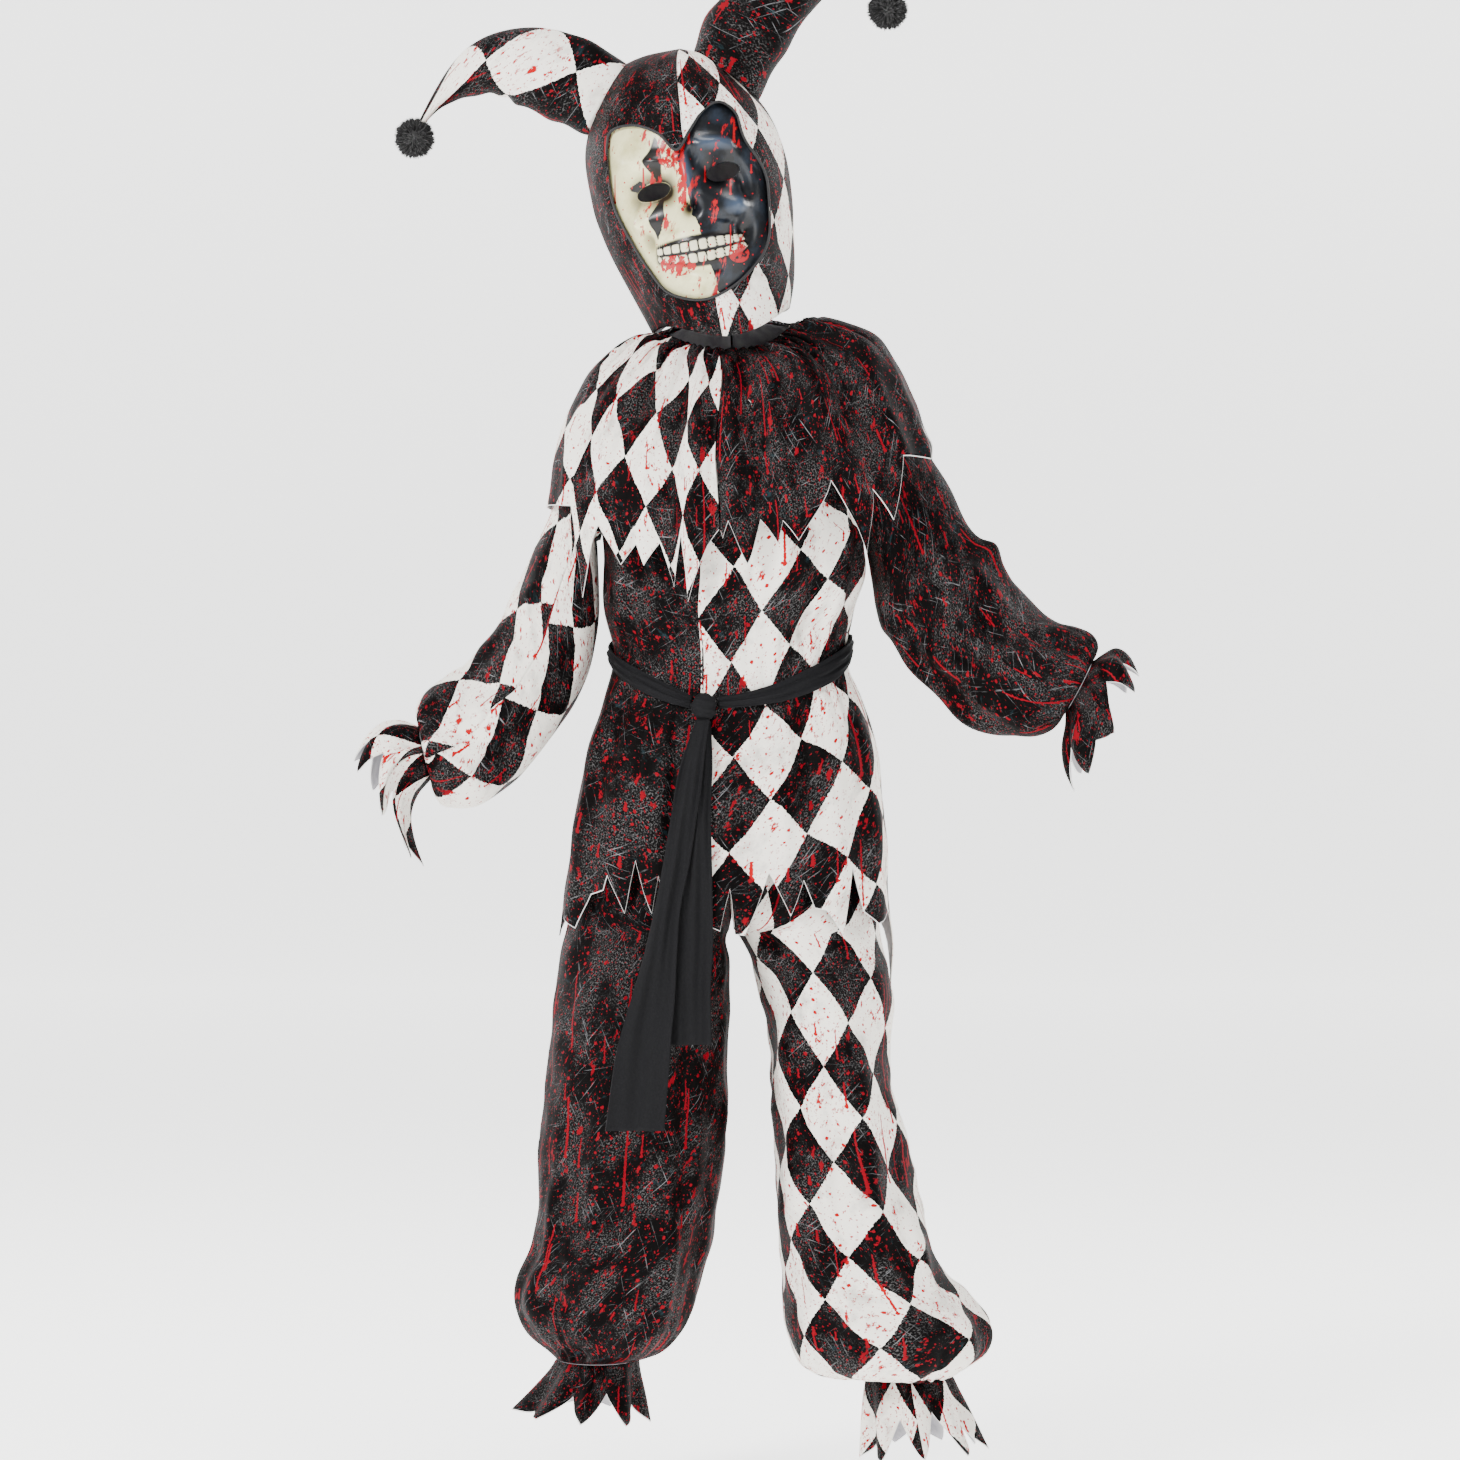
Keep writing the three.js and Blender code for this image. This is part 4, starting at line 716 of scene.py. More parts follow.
def sash_at(degrees):
    """The sash's height and width at a turn in degrees, straight between the points of its path."""
    turns, heights, widths = SASH_PATH.T
    return np.interp(degrees, turns, heights, period=360), np.interp(degrees, turns, widths, period=360)


def row_at(surface, z, turn):
    """The row at which a tube passes the height z on each turn, found by halving the rows."""
    above = np.zeros(np.broadcast(z, turn).shape)
    below = above + len(surface.rows) - 1
    for _ in range(HALVINGS):
        middle = (above + below) / 2
        high = surface(middle, turn)[..., 2] > z
        above, below = np.where(high, middle, above), np.where(high, below, middle)
    return (above + below) / 2


def armhole_turn(row, side):
    """How far the armhole's edge lies from the side line: the turn to a point on an upright oval."""
    up = (tunic_tube(row, side * np.pi / 2)[..., 2] - ARMHOLE_Z[side]) / ARMHOLE_HALF_Z
    rings = between(TUNIC, row)
    reach = ARMHOLE_HALF_Y * np.sqrt(np.clip(1 - up ** 2, 0, 1)) / ((rings[..., 6] - rings[..., 4]) / 2)
    return np.arcsin(np.clip(reach, 0, 1) ** (BODY_ROUND / 2))


def tunic_panel(hem, side, behind):
    """One panel in mm: rows from the neck past the armhole to the hem, columns between its seams."""
    hem_row, turn = seen_at(tunic_tube, *np.transpose(hem), behind=behind)
    turn = turn - 2 * np.pi if behind and side < 0 else turn
    centre = side * np.pi if behind else TUNIC_FRONT_SEAM
    edge = side * np.pi / 2
    away = np.sign(centre - edge)
    turn[0], turn[-1] = (edge, centre) if behind else (centre, edge)
    share = joined((turn - centre) / (edge - centre), PANEL_PER_TOOTH)
    hem_row = joined(hem_row, PANEL_PER_TOOTH)
    order = np.argsort(centre + (edge - centre) * share)
    share, hem_row = share[order], hem_row[order]
    top = row_at(tunic_tube, ARMHOLE_Z[side] + ARMHOLE_HALF_Z, edge)
    bottom = row_at(tunic_tube, ARMHOLE_Z[side] - ARMHOLE_HALF_Z, edge)
    body = np.concatenate([
        np.linspace(0, top, YOKE_LEVELS)[:-1], np.linspace(top, bottom, ARMHOLE_LEVELS)[:-1],
        np.linspace(bottom, SKIRT_START_ROW, WAIST_LEVELS)])[:, None]
    reach = edge + away * (armhole_turn(body, side) + TUNIC_SEAM_TURN)
    first = centre - away * TUNIC_SEAM_TURN
    turns = first + (reach - first) * share
    level = np.linspace(0, 1, SKIRT_LEVELS + 1)[1:, None]
    skirt = SKIRT_START_ROW + (hem_row - SKIRT_START_ROW) * level
    rows = np.concatenate([np.broadcast_to(body, turns.shape), skirt])
    turns = np.concatenate([turns, np.broadcast_to(turns[-1], skirt.shape)])
    points = tunic_tube(rows, turns)
    normals = normals_of(points)
    from_sash = points[..., 2] - sash_at(np.degrees(turns))[0]
    loose = 1 - bell(from_sash, SASH_HOLDS_MM)
    drawn = bell(from_sash, SASH_DRAWS_MM) * loose
    free = loose * (points[..., 2] < UNDER_CAPE_Z)
    lift = WAIST_GATHER_MM * gathers(turns, WAIST_GATHERS, 7) * drawn
    lift = lift + TUNIC_DRAPE_MM * uneven(points, TUNIC_DRAPE_WIDE_MM, 9) * free
    lift -= bell(np.degrees(turns - TUNIC_FRONT_SEAM), SEAM_WIDE_DEGREES)
    points = points + normals * lift[..., None]
    return creased_both(points, normals * loose[..., None], TUNIC_CREASES, TUNIC_BACK_CREASES)


sewn("tunic_front_right_cloth", tunic_panel(TUNIC_HEM_RIGHT_FRONT, -1, False), black_print)
sewn("tunic_front_left_cloth", tunic_panel(TUNIC_HEM_LEFT_FRONT, 1, False), diamond_print)
sewn("tunic_back_right_cloth", tunic_panel(TUNIC_HEM_RIGHT_BACK, -1, True), black_print)
sewn("tunic_back_left_cloth", tunic_panel(TUNIC_HEM_LEFT_BACK, 1, True), diamond_print)


# Sleeves: one piece of cloth each, set into the armhole and drawn in on elastic at the wrist, and a
# short frill past the elastic, which is one layer cut to a zigzag so that its pale reverse shows.
# Rings: the right edge's x and z, the left edge's x and z, the depth of the middle, half the depth.
SLEEVE_RIGHT = [
    (-128, -44, -124, -192, 0, 50), (-138, -64, -122, -204, 0, 51),
    (-150, -97, -121, -215, 0, 51), (-159, -135, -120.5, -226, 1, 50),
    (-165, -165, -120.5, -240, 2, 48), (-187, -209, -120.5, -256, 3, 46),
    (-203, -238, -122, -280, 3, 46), (-217, -273, -128, -312, 2, 48),
    (-231, -293, -143, -344, 0, 50), (-245, -308, -159, -368, -5, 52),
    (-259, -314, -178, -395, -12, 52), (-267, -322, -200, -420, -20, 52),
    (-278, -332, -224, -438, -29, 50), (-287, -342, -248, -444, -37, 45),
    (-290, -353, -266, -440, -42, 35), (-287, -368, -276, -417, -45, 24),
]
SLEEVE_LEFT = [
    (138, -190, 142, -44, 0, 50), (135.5, -198, 156, -52, 0, 51),
    (136, -205, 172, -70, 0, 51), (137, -212, 185, -92, 0, 50),
    (138, -220, 196, -114, 0, 49), (140, -234, 209, -139, -1, 48),
    (142, -254, 223, -163, -3, 48), (147, -274, 238, -188, -6, 50),
    (156, -286, 253, -198, -10, 52), (167, -298, 260, -216, -15, 53),
    (180, -313, 271, -232, -22, 54), (198, -334, 285, -248, -31, 54),
    (222, -357, 300, -262, -42, 54), (246, -372, 315, -270, -54, 52),
    (268, -378, 329, -275, -66, 48), (289, -376, 342, -281, -77, 42),
    (306, -368, 347, -292, -86, 34), (317, -353, 341, -307, -91, 26),
]
SLEEVE_RIGHT_FOLDS = [
    (-70, 6, 10, 16, 5), (-30, 5, 11, 14, 4), (10, 7, 14, 14, 5), (55, 6, 13, 14, 6),
    (130, 5, 13, 18, 6), (-140, 6, 13, 18, 6),
]
SLEEVE_LEFT_FOLDS = [
    (70, 6, 10, 14, 7), (35, 6, 13, 12, 6), (0, 7, 15, 12, 5), (-35, 7, 15, 12, 6),
    (-75, 8, 15, 14, 5), (130, 6, 14, 18, 6), (-130, 6, 14, 18, 6),
]
CUFF_FRILL_RIGHT = [
    (-287.6, -367.8, -276.6, -416.8, -45, 24), (-304, -361, -289.5, -431, -49, 30),
    (-322.5, -363, -297, -451, -53, 36), (-338.5, -377, -295, -475, -56, 40),
    (-349, -399, -287, -501, -57, 41),
]
CUFF_FRILL_LEFT = [
    (317.6, -353.2, 341.6, -307.2, -91, 26), (318, -366, 354, -299, -99, 34),
    (316, -386, 364, -296, -104, 42), (320, -406, 374, -304, -106, 47),
    (330, -424, 382, -322, -104, 47),
]
SLEEVE_SEAT_MM = 1.0
SEAT_SIZE = 1.05
SEAT_LEVELS = 5
SEAT_ROUNDS = 6
SLEEVE_LEVELS = 92
SLEEVE_COLUMNS = 132
WRIST_GATHERS = 24
WRIST_GATHER_MM = 3.4
CAP_GATHERS = 13
CAP_GATHER_MM = 1.1
CAP_REACH_MM = 16
WRIST_REACH_MM = 42
WRIST_BAND_MM = 7
SLEEVE_DRAPE_MM = 2.2
SLEEVE_DRAPE_WIDE_MM = 60
FRILL_PER_TOOTH = 18
FRILL_LEVELS = 16
# Creases on the arms' fronts: two ends in x and z, width and height in mm.
SLEEVE_RIGHT_CREASES = [
    (-150, -150, -178, -250, 7, -5.2), (-134, -210, -196, -246, 7, 5.1), (-128, -250, -210, -290, 7, -5.4),
    (-134, -290, -224, -318, 7, 5.1), (-150, -330, -240, -330, 7, -5.4), (-176, -352, -262, -352, 7, 4.8),
    (-200, -392, -276, -366, 6, -5.1), (-226, -418, -282, -382, 6, 4.5), (-170, -260, -236, -380, 10, 3.9),
]
SLEEVE_LEFT_CREASES = [
    (222, -212, 240, -236, 8, 6.6), (240, -236, 214, -262, 8, 6.6), (214, -262, 246, -282, 8, 6.0),
    (196, -190, 236, -212, 7, -6.0), (168, -226, 214, -250, 7, 5.1), (160, -262, 250, -318, 7, -5.7),
    (176, -292, 290, -352, 7, 5.4), (204, -322, 304, -362, 6, -5.1), (238, -290, 324, -318, 7, 5.4),
    (256, -272, 330, -300, 6, -4.8), (150, -150, 190, -196, 8, 4.5), (148, -196, 190, -226, 7, -5.1),
]


def ring_rows(rings):
    """A sleeve's rings as rows of a tube: the front and back stand half the depth off the middle."""
    right_x, right_z, left_x, left_z, y, half = np.array(rings, float).T
    middle_z = (right_z + left_z) / 2
    return np.stack([right_x, right_z, left_x, left_z, y - half, middle_z, y + half, middle_z], -1)


def seat_ring(turn, side):
    """The sleeve's first ring, an oval round the armhole, laid on the side of the tunic."""
    z = ARMHOLE_Z[side] + side * np.sin(turn) * ARMHOLE_HALF_Z * SEAT_SIZE
    y = -np.cos(turn) * ARMHOLE_HALF_Y * SEAT_SIZE
    row = row_at(tunic_tube, z, np.full(turn.shape, side * np.pi / 2))
    for _ in range(SEAT_ROUNDS):
        rings = between(TUNIC, row)
        reach = y / ((rings[..., 6] - rings[..., 4]) / 2)
        off = np.arcsin(np.clip(np.abs(reach), 0, 1) ** (BODY_ROUND / 2)) * np.sign(reach)
        around = side * (np.pi / 2 + off)
        row = row_at(tunic_tube, z, around)
    return tunic_tube(row, around) + np.array([side * SLEEVE_SEAT_MM, 0, 0])


def sleeve(rings, folds, side, creases, seed):
    """A sleeve in mm: rings from its seat on the tunic to the wrist, with gathers near the elastic."""
    rows = ring_rows(rings)
    surface = tube(rows, 2, folds, straight=True)
    turn = np.linspace(0, 2 * np.pi, SLEEVE_COLUMNS, endpoint=False)
    arm = surface(np.linspace(0, len(rows) - 1, SLEEVE_LEVELS)[:, None], turn)
    share = np.linspace(0, 1, SEAT_LEVELS, endpoint=False)[:, None, None]
    points = np.concatenate([seat_ring(turn, side) * (1 - share) + arm[0] * share, arm])
    from_seat = lengths(points, 0)
    from_wrist = from_seat[-1:] - from_seat
    gather = bell(from_wrist, WRIST_REACH_MM) * (1 - bell(from_wrist, WRIST_BAND_MM))
    cap = bell(from_seat - CAP_REACH_MM, CAP_REACH_MM)
    lift = WRIST_GATHER_MM * gathers(turn, WRIST_GATHERS, seed) * gather
    lift = lift + CAP_GATHER_MM * gathers(turn, CAP_GATHERS, seed + 1) * cap
    clear_of_wrist, clear_of_seat = np.clip(from_wrist / 50, 0, 1), np.clip(from_seat / 40, 0, 1)
    drape = SLEEVE_DRAPE_MM * uneven(points, SLEEVE_DRAPE_WIDE_MM, seed + 2)
    lift += drape * clear_of_wrist * clear_of_seat
    normals = normals_of(points, closed=True)
    return creased_both(points + normals * lift[..., None], normals, creases, turned_in(creases))


def frill(rings, teeth, notch, wave, seed):
    """A frill in mm: a flared tube from the elastic to a zigzag edge, with one wave for each tooth.

    The edge lies notch of the way back between the teeth, and the notches differ a little.
    """
    surface = tube(ring_rows(rings), 2, straight=True)
    tooth = np.linspace(0, teeth, teeth * FRILL_PER_TOOTH, endpoint=False)
    between_teeth = 1 - 2 * np.abs(tooth % 1 - 0.5)
    depth = notch * between_teeth * (0.8 + 0.4 * np.sin(4 * np.floor(tooth) + 2))
    share = np.linspace(0, 1, FRILL_LEVELS)[:, None]
    turn = 2 * np.pi * tooth / teeth
    points = surface(share * (len(rings) - 1) * (1 - depth), turn)
    random = np.random.default_rng(seed)
    bend = np.interp(tooth, np.arange(teeth + 1), random.uniform(-1, 1, teeth + 1), period=teeth)
    lift = wave * share * (np.cos(2 * np.pi * tooth) + 0.8 * bend)
    near_elastic = np.clip(share * 12, 0, 1)
    lift = lift + 1.2 * gathers(turn, teeth * 3, seed) * bell(share, 0.25) * near_elastic
    return points + normals_of(points, closed=True) * lift[..., None]


sewn("sleeve_right_cloth", sleeve(SLEEVE_RIGHT, SLEEVE_RIGHT_FOLDS, -1, SLEEVE_RIGHT_CREASES, 21),
     diamond_print, raw_hem=False, closed=True)
sewn("sleeve_left_cloth", sleeve(SLEEVE_LEFT, SLEEVE_LEFT_FOLDS, 1, SLEEVE_LEFT_CREASES, 22),
     black_print, raw_hem=False, closed=True)
sewn("cuff_frill_right_cloth", frill(CUFF_FRILL_RIGHT, 7, 0.42, 4, 31), diamond_print,
     closed=True)
sewn("cuff_frill_left_cloth", frill(CUFF_FRILL_LEFT, 8, 0.4, 4, 32), black_print,
     closed=True)


# Trousers: one piece of cloth a leg, which wraps the leg from the inseam and meets the other one at
# the centre seam above the crotch, elastic at the ankle, and a zigzag frill past it.
# Levels: the height, the right and left side in x, the front and back in y.
LEG_RIGHT = [
    (-345, -107, 119, -86, 87), (-385, -121, 131, -93, 96), (-430, -131, 124, -100, 103),
    (-480, -136, 88, -98, 99), (-525, -142, 42, -98, 99), (-559, -148, 5, -98, 99),
    (-590, -156, 3, -101, 103), (-640, -162, 2, -98, 104), (-712, -171, 2, -93, 99),
    (-767, -175, -3, -90, 97), (-821, -176, -9, -88, 96), (-858, -182, -14, -88, 96),
    (-890, -196, -22, -87, 96), (-917, -197, -30, -85, 95), (-940, -185, -41, -80, 91),
    (-958, -166, -59, -66, 80), (-968, -160, -82, -42, 58),
]
LEG_LEFT = [
    (-345, -107, 119, -86, 87), (-385, -119, 133, -93, 96), (-430, -112, 139, -100, 103),
    (-480, -76, 140, -98, 99), (-525, -30, 143, -98, 99), (-559, 7, 147, -99, 99),
    (-585, 23, 152, -103, 101), (-617, 33, 155, -106, 102), (-669, 41, 155, -104, 96),
    (-719, 45, 160, -106, 90), (-785, 48, 177, -112, 83), (-821, 51, 187, -116, 79),
    (-876, 54, 203, -123, 72), (-902, 57, 226, -127, 68), (-931, 60, 250, -129, 63),
    (-955, 67, 246, -126, 58), (-972, 82, 226, -110, 46), (-978, 133, 214, -76, 6),
]
LEG_RIGHT_FOLDS = [
    (34, 7, 16, 11, 8), (-14, 8, 16, 10, 5), (-52, 7, 15, 10, 5), (-80, 10, 16, 9, 5),
    (72, 6, 14, 9, 4), (140, 6, 16, 12, 7), (-170, 6, 16, 10, 6), (-125, 6, 16, 11, 6),
]
LEG_LEFT_FOLDS = [
    (-52, 7, 16, 9, 6), (-18, 8, 17, 9, 7), (14, 9, 17, 9, 6), (48, 10, 17, 10, 7),
    (78, 12, 17, 8, 5), (125, 6, 17, 12, 7), (165, 6, 17, 10, 6), (-140, 6, 17, 11, 6),
]
ANKLE_FRILL_RIGHT = [
    (-160, -968.5, -82, -968.5, 8, 50), (-166, -980, -80, -982, 6, 54),
    (-180, -998, -76, -1002, 2, 62), (-198, -1018, -72, -1026, -4, 72),
]
ANKLE_FRILL_LEFT = [
    (133, -978.5, 214, -978.5, -35, 41), (130, -994, 220, -992, -37, 48),
    (128, -1018, 230, -1014, -42, 56), (126, -1052, 244, -1046, -50, 66),
]
TROUSER_SEAM_X = 6
LEG_ROUND = 2.1
LEG_LEVELS = 116
LEG_COLUMNS = 140
ANKLE_GATHERS = 30
ANKLE_GATHER_MM = 3.6
ANKLE_REACH_MM = 60
ANKLE_BAND_MM = 9
LEG_DRAPE_MM = 2.6
LEG_DRAPE_WIDE_MM = 95
LEG_CRUMPLE_MM = 1.2
LEG_CRUMPLE_WIDE_MM = 34
# Creases on the legs' fronts: two ends in x and z, width and height in mm.
LEG_CREASES = [
    (-56, -690, -52, -950, 10, 6.8), (-84, -620, -92, -900, 10, -6.0), (-116, -700, -128, -930, 10, 6.0),
    (-34, -600, -40, -860, 8, -5.7), (-150, -760, -164, -930, 8, -5.1), (-20, -700, -34, -880, 7, 4.8),
    (-150, -600, -60, -640, 11, 3.9), (-160, -660, -90, -690, 10, -3.6), (-176, -850, -110, -880, 11, 4.5),
    (-190, -900, -120, -915, 8, -4.5), (-60, -930, -110, -900, 7, 4.2),
    (14, -555, 60, -582, 7, -5.4), (40, -600, 140, -640, 11, 4.2), (60, -640, 78, -900, 10, 6.3),
    (92, -620, 110, -880, 10, -6.3), (122, -640, 146, -900, 10, 6.0), (146, -680, 176, -880, 8, -5.7),
    (168, -800, 206, -930, 8, 5.4), (74, -800, 66, -950, 7, -5.1), (60, -700, 150, -740, 12, 3.9),
    (100, -860, 210, -900, 11, 4.8), (80, -920, 160, -950, 10, -4.5), (140, -940, 236, -920, 10, 4.8),
]


def leg(levels, folds, side, seed):
    """A trouser leg in mm: each level runs round the leg from the inseam, or the centre seam above it."""
    z, right_x, left_x, front_y, back_y = np.array(levels, float).T
    surface = tube(np.stack([right_x, z, left_x, z, front_y, z, back_y, z], -1), LEG_ROUND, folds)
    row = np.linspace(0, len(levels) - 1, LEG_LEVELS)
    rings = between(surface.rows, row)
    middle, half = (rings[:, 0] + rings[:, 2]) / 2, (rings[:, 2] - rings[:, 0]) / 2
    edge = np.clip(-side * (TROUSER_SEAM_X - middle) / half, 0, 1)
    most = np.minimum(np.arcsin(edge ** (LEG_ROUND / 2)), np.pi / 2 - SEAM_TURN)[:, None]
    turn = -most + (np.pi + 2 * most) * np.linspace(0, 1, LEG_COLUMNS)
    turn = (side * turn)[:, ::side]
    points = surface(row[:, None], turn)
    from_ankle = lengths(points, 0)
    from_ankle = from_ankle[-1:] - from_ankle
    gather = bell(from_ankle, ANKLE_REACH_MM) * (1 - bell(from_ankle, ANKLE_BAND_MM))
    free = np.clip(from_ankle / ANKLE_REACH_MM, 0, 1)
    lift = ANKLE_GATHER_MM * gathers(turn, ANKLE_GATHERS, seed) * gather
    lift = lift + LEG_DRAPE_MM * uneven(points, LEG_DRAPE_WIDE_MM, seed + 1) * free
    lift += LEG_CRUMPLE_MM * uneven(points, LEG_CRUMPLE_WIDE_MM, seed + 2) * free
    normals = normals_of(points)
    points = points + normals * lift[..., None]
    return creased_both(points, normals, LEG_CREASES, turned_in(LEG_CREASES))


sewn("leg_right_cloth", leg(LEG_RIGHT, LEG_RIGHT_FOLDS, -1, 41), black_print,
     raw_hem=False)
sewn("leg_left_cloth", leg(LEG_LEFT, LEG_LEFT_FOLDS, 1, 44), diamond_print,
     raw_hem=False)
sewn("ankle_frill_right_cloth", frill(ANKLE_FRILL_RIGHT, 9, 0.4, 5, 51), black_print,
     closed=True)
sewn("ankle_frill_left_cloth", frill(ANKLE_FRILL_LEFT, 9, 0.4, 5, 52), diamond_print,
     closed=True)


# Hood: two sides of the printed cloth joined by one seam over the crown, with a turned edge round the
# face opening, darkened with painted shade. It hangs on the wearer's head.
HOOD = np.array([
    (-43.8, 276, -42.2, 276, -6.8, 276, -5.2, 276),
    (-76, 270, -14, 266, -44, 266, 36, 268),
    (-102, 254, 12, 248, -76, 246, 68, 252),
    (-120, 228, 34, 224, -99, 220, 96, 228),
    (-130, 195, 49, 200, -113, 194, 112, 198),
    (-132, 166, 59, 171, -120, 163, 118, 168),
    (-126, 126, 64, 138, -123, 128, 117, 134),
    (-115, 97, 66, 108, -121, 99, 110, 106),
    (-99, 62, 66, 76, -115, 64, 98, 79),
    (-83, 32, 65, 50, -106, 30, 84, 60),
    (-68, 4.4, 63, 29, -93, -4, 70, 44),
], float)
FACE_OPENING = np.array([
    (-110, 176), (-105, 189), (-84, 191), (-62, 182), (-45, 166), (-33, 184), (-20, 205),
    (-5, 214), (10, 204), (18, 180), (36, 152), (41, 126), (40, 84), (22, 54), (-4, 34),
    (-28, 29), (-54, 38), (-72, 60), (-90, 90), (-104, 120), (-109, 150),
], float)
HOOD_LEVELS = 84
HOOD_COLUMNS = 92
CUT_DEPTH_MM = 400
EDGE_CORD_MM = 1.3
EDGE_CORD_AROUND = 8
OPENING_POINTS = 220
HOOD_HALF_MM = 90
HOOD_DRAPE_MM = 1.3
HOOD_DRAPE_WIDE_MM = 60
HOOD_SEAM_WIDE_MM = 2.2
# Soft creases on the hood: two ends in x and z, width and height in mm.
HOOD_CREASES = [
    (-112, 90, -60, 20, 6, -2.4), (-98, 60, -40, 14, 5, 2.2), (-124, 140, -112, 90, 5, -2.0),
    (-60, 26, 10, 16, 5, -2.0), (10, 34, 56, 60, 5, 2.2), (40, 60, 62, 110, 5, -2.0),
    (-60, 256, -30, 214, 7, -1.8), (-96, 236, -62, 200, 7, 1.8), (10, 236, 30, 180, 6, -1.8),
]
hood_tube = tube(HOOD, 2)


def closed_curve(corners, count):
    """Points on a smooth closed curve through the corners, a cubic through each four of them."""
    wrapped = np.concatenate([corners[-2:], corners, corners[:3]])
    return between(wrapped, np.linspace(0, len(corners), count, endpoint=False) + 2)


def hood_side(side):
    """One side of the hood in mm, from the crown down, between its front seam and its back one."""
    turn = (side * np.linspace(SEAM_TURN, np.pi - SEAM_TURN, HOOD_COLUMNS))[::side]
    points = hood_tube(np.linspace(0, len(HOOD) - 1, HOOD_LEVELS)[:, None], turn)
    from_seam = np.abs(np.sin(turn)) * HOOD_HALF_MM
    drape = HOOD_DRAPE_MM * uneven(points, HOOD_DRAPE_WIDE_MM, 61)
    lift = drape * np.clip(from_seam / 20, 0, 1) - bell(from_seam, HOOD_SEAM_WIDE_MM)
    normals = normals_of(points)
    points = points + normals * lift[..., None]
    return creased_both(points, normals, HOOD_CREASES, HOOD_CREASES)


def block_through(name, outline):
    """A closed block over an outline of x, z in mm, from far in front of it to the middle plane."""
    outline = np.asarray(outline, float)
    after = np.roll(outline, -1, 0)
    turns_left = (outline[:, 0] * after[:, 1] - after[:, 0] * outline[:, 1]).sum() > 0
    outline = outline[::-1] if turns_left else outline
    count = len(outline)
    front = np.insert(outline, 1, -CUT_DEPTH_MM, axis=1)
    back = np.insert(outline, 1, 0, axis=1)
    place = np.arange(count)
    after = (place + 1) % count
    sides = np.stack([place, after, after + count, place + count], -1).tolist()
    mesh = bpy.data.meshes.new(name)
    faces = [*sides, place[::-1].tolist(), (place + count).tolist()]
    mesh.from_pydata((np.concatenate([front, back]) * MM).tolist(), [], faces)
    return linked(name, mesh)


def close_ends(made):
    """Makes a closed body of a grid whose last column repeats the first: joins them, fills the ends."""
    mesh = bmesh.new()
    mesh.from_mesh(made.data)
    bmesh.ops.remove_doubles(mesh, verts=mesh.verts, dist=1e-6)
    bmesh.ops.holes_fill(mesh, edges=[edge for edge in mesh.edges if edge.is_boundary], sides=0)
    mesh.to_mesh(made.data)
    mesh.free()


def cut_away(piece, cutters):
    """Takes blocks out of a piece for good: its modifiers are applied, and the blocks are removed."""
    for cutter in cutters:
        cut = piece.modifiers.new("cut", "BOOLEAN")
        cut.operation, cut.solver, cut.object = "DIFFERENCE", "EXACT", cutter
    graph = bpy.context.evaluated_depsgraph_get()
    piece.data = bpy.data.meshes.new_from_object(piece.evaluated_get(graph))
    piece.modifiers.clear()
    for cutter in cutters:
        bpy.data.objects.remove(cutter)


def cord(name, path, radius_mm, colour):
    """A round cord along a closed path of points in mm, with rings at right angles to the path."""
    along = unit(np.roll(path, -1, 0) - np.roll(path, 1, 0))
    side = unit(np.cross(along, (0, -1, 0.01)))
    up = np.cross(side, along)
    angle = np.linspace(0, 2 * np.pi, EDGE_CORD_AROUND, endpoint=False)[None, :, None]
    points = path[:, None] + radius_mm * (np.cos(angle) * side[:, None] + np.sin(angle) * up[:, None])
    made = grid_mesh(name, np.concatenate([points, points[:1]]) * MM, None, closed=True)
    made.data.materials.append(colour)
    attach(made, "root")
    return made


# The face opening's edge is turned in: a thin round cord lies along it, and its black is painted shade in
# the fold.
opening_edge_shade = material("opening_edge_painted_shade", {"Base Color": linear("#121113"), "Roughness": 0.7})[0]
opening = closed_curve(FACE_OPENING, OPENING_POINTS)
edge_row, edge_turn = seen_at(hood_tube, opening[:, 0], opening[:, 1])
hood_edge = cord("hood_opening_edge", hood_tube(edge_row, edge_turn), EDGE_CORD_MM, opening_edge_shade)
hood_right = sewn("hood_right_cloth", hood_side(-1), black_print,
                  raw_hem=False)
cut_away(hood_right, [block_through("face_cut", opening)])
hood_left = sewn("hood_left_cloth", hood_side(1), diamond_print,
                 raw_hem=False)
cut_away(hood_left, [block_through("face_cut", opening)])


# Horns: two curved cones of the printed cloth, sewn on the crown and stuffed with polyester fibre.
# Rings: the middle's x, y and z, and the radius, in mm.
HORN_RIGHT = np.array([
    (-86, -4, 210, 34), (-117, -6, 231, 39), (-149, -8, 247, 42), (-185, -10, 258, 38),
    (-209, -11, 260, 32), (-229, -12, 256, 25), (-250, -13, 244, 17), (-267, -14, 230, 9.5),
    (-281, -14, 214, 4.5), (-289, -14, 201, 3),
], float)
HORN_LEFT = np.array([
    (-14, -4, 218, 34), (1, -6, 250, 38), (18, -7, 286, 41), (41, -8, 317, 38),
    (67, -9, 341, 32), (94, -10, 354, 25), (118, -11, 353, 17), (136, -12, 343, 9.5),
    (146, -12, 331, 4.5), (151, -12, 321, 3),
], float)
HORN_LEVELS = 70
HORN_AROUND = 56


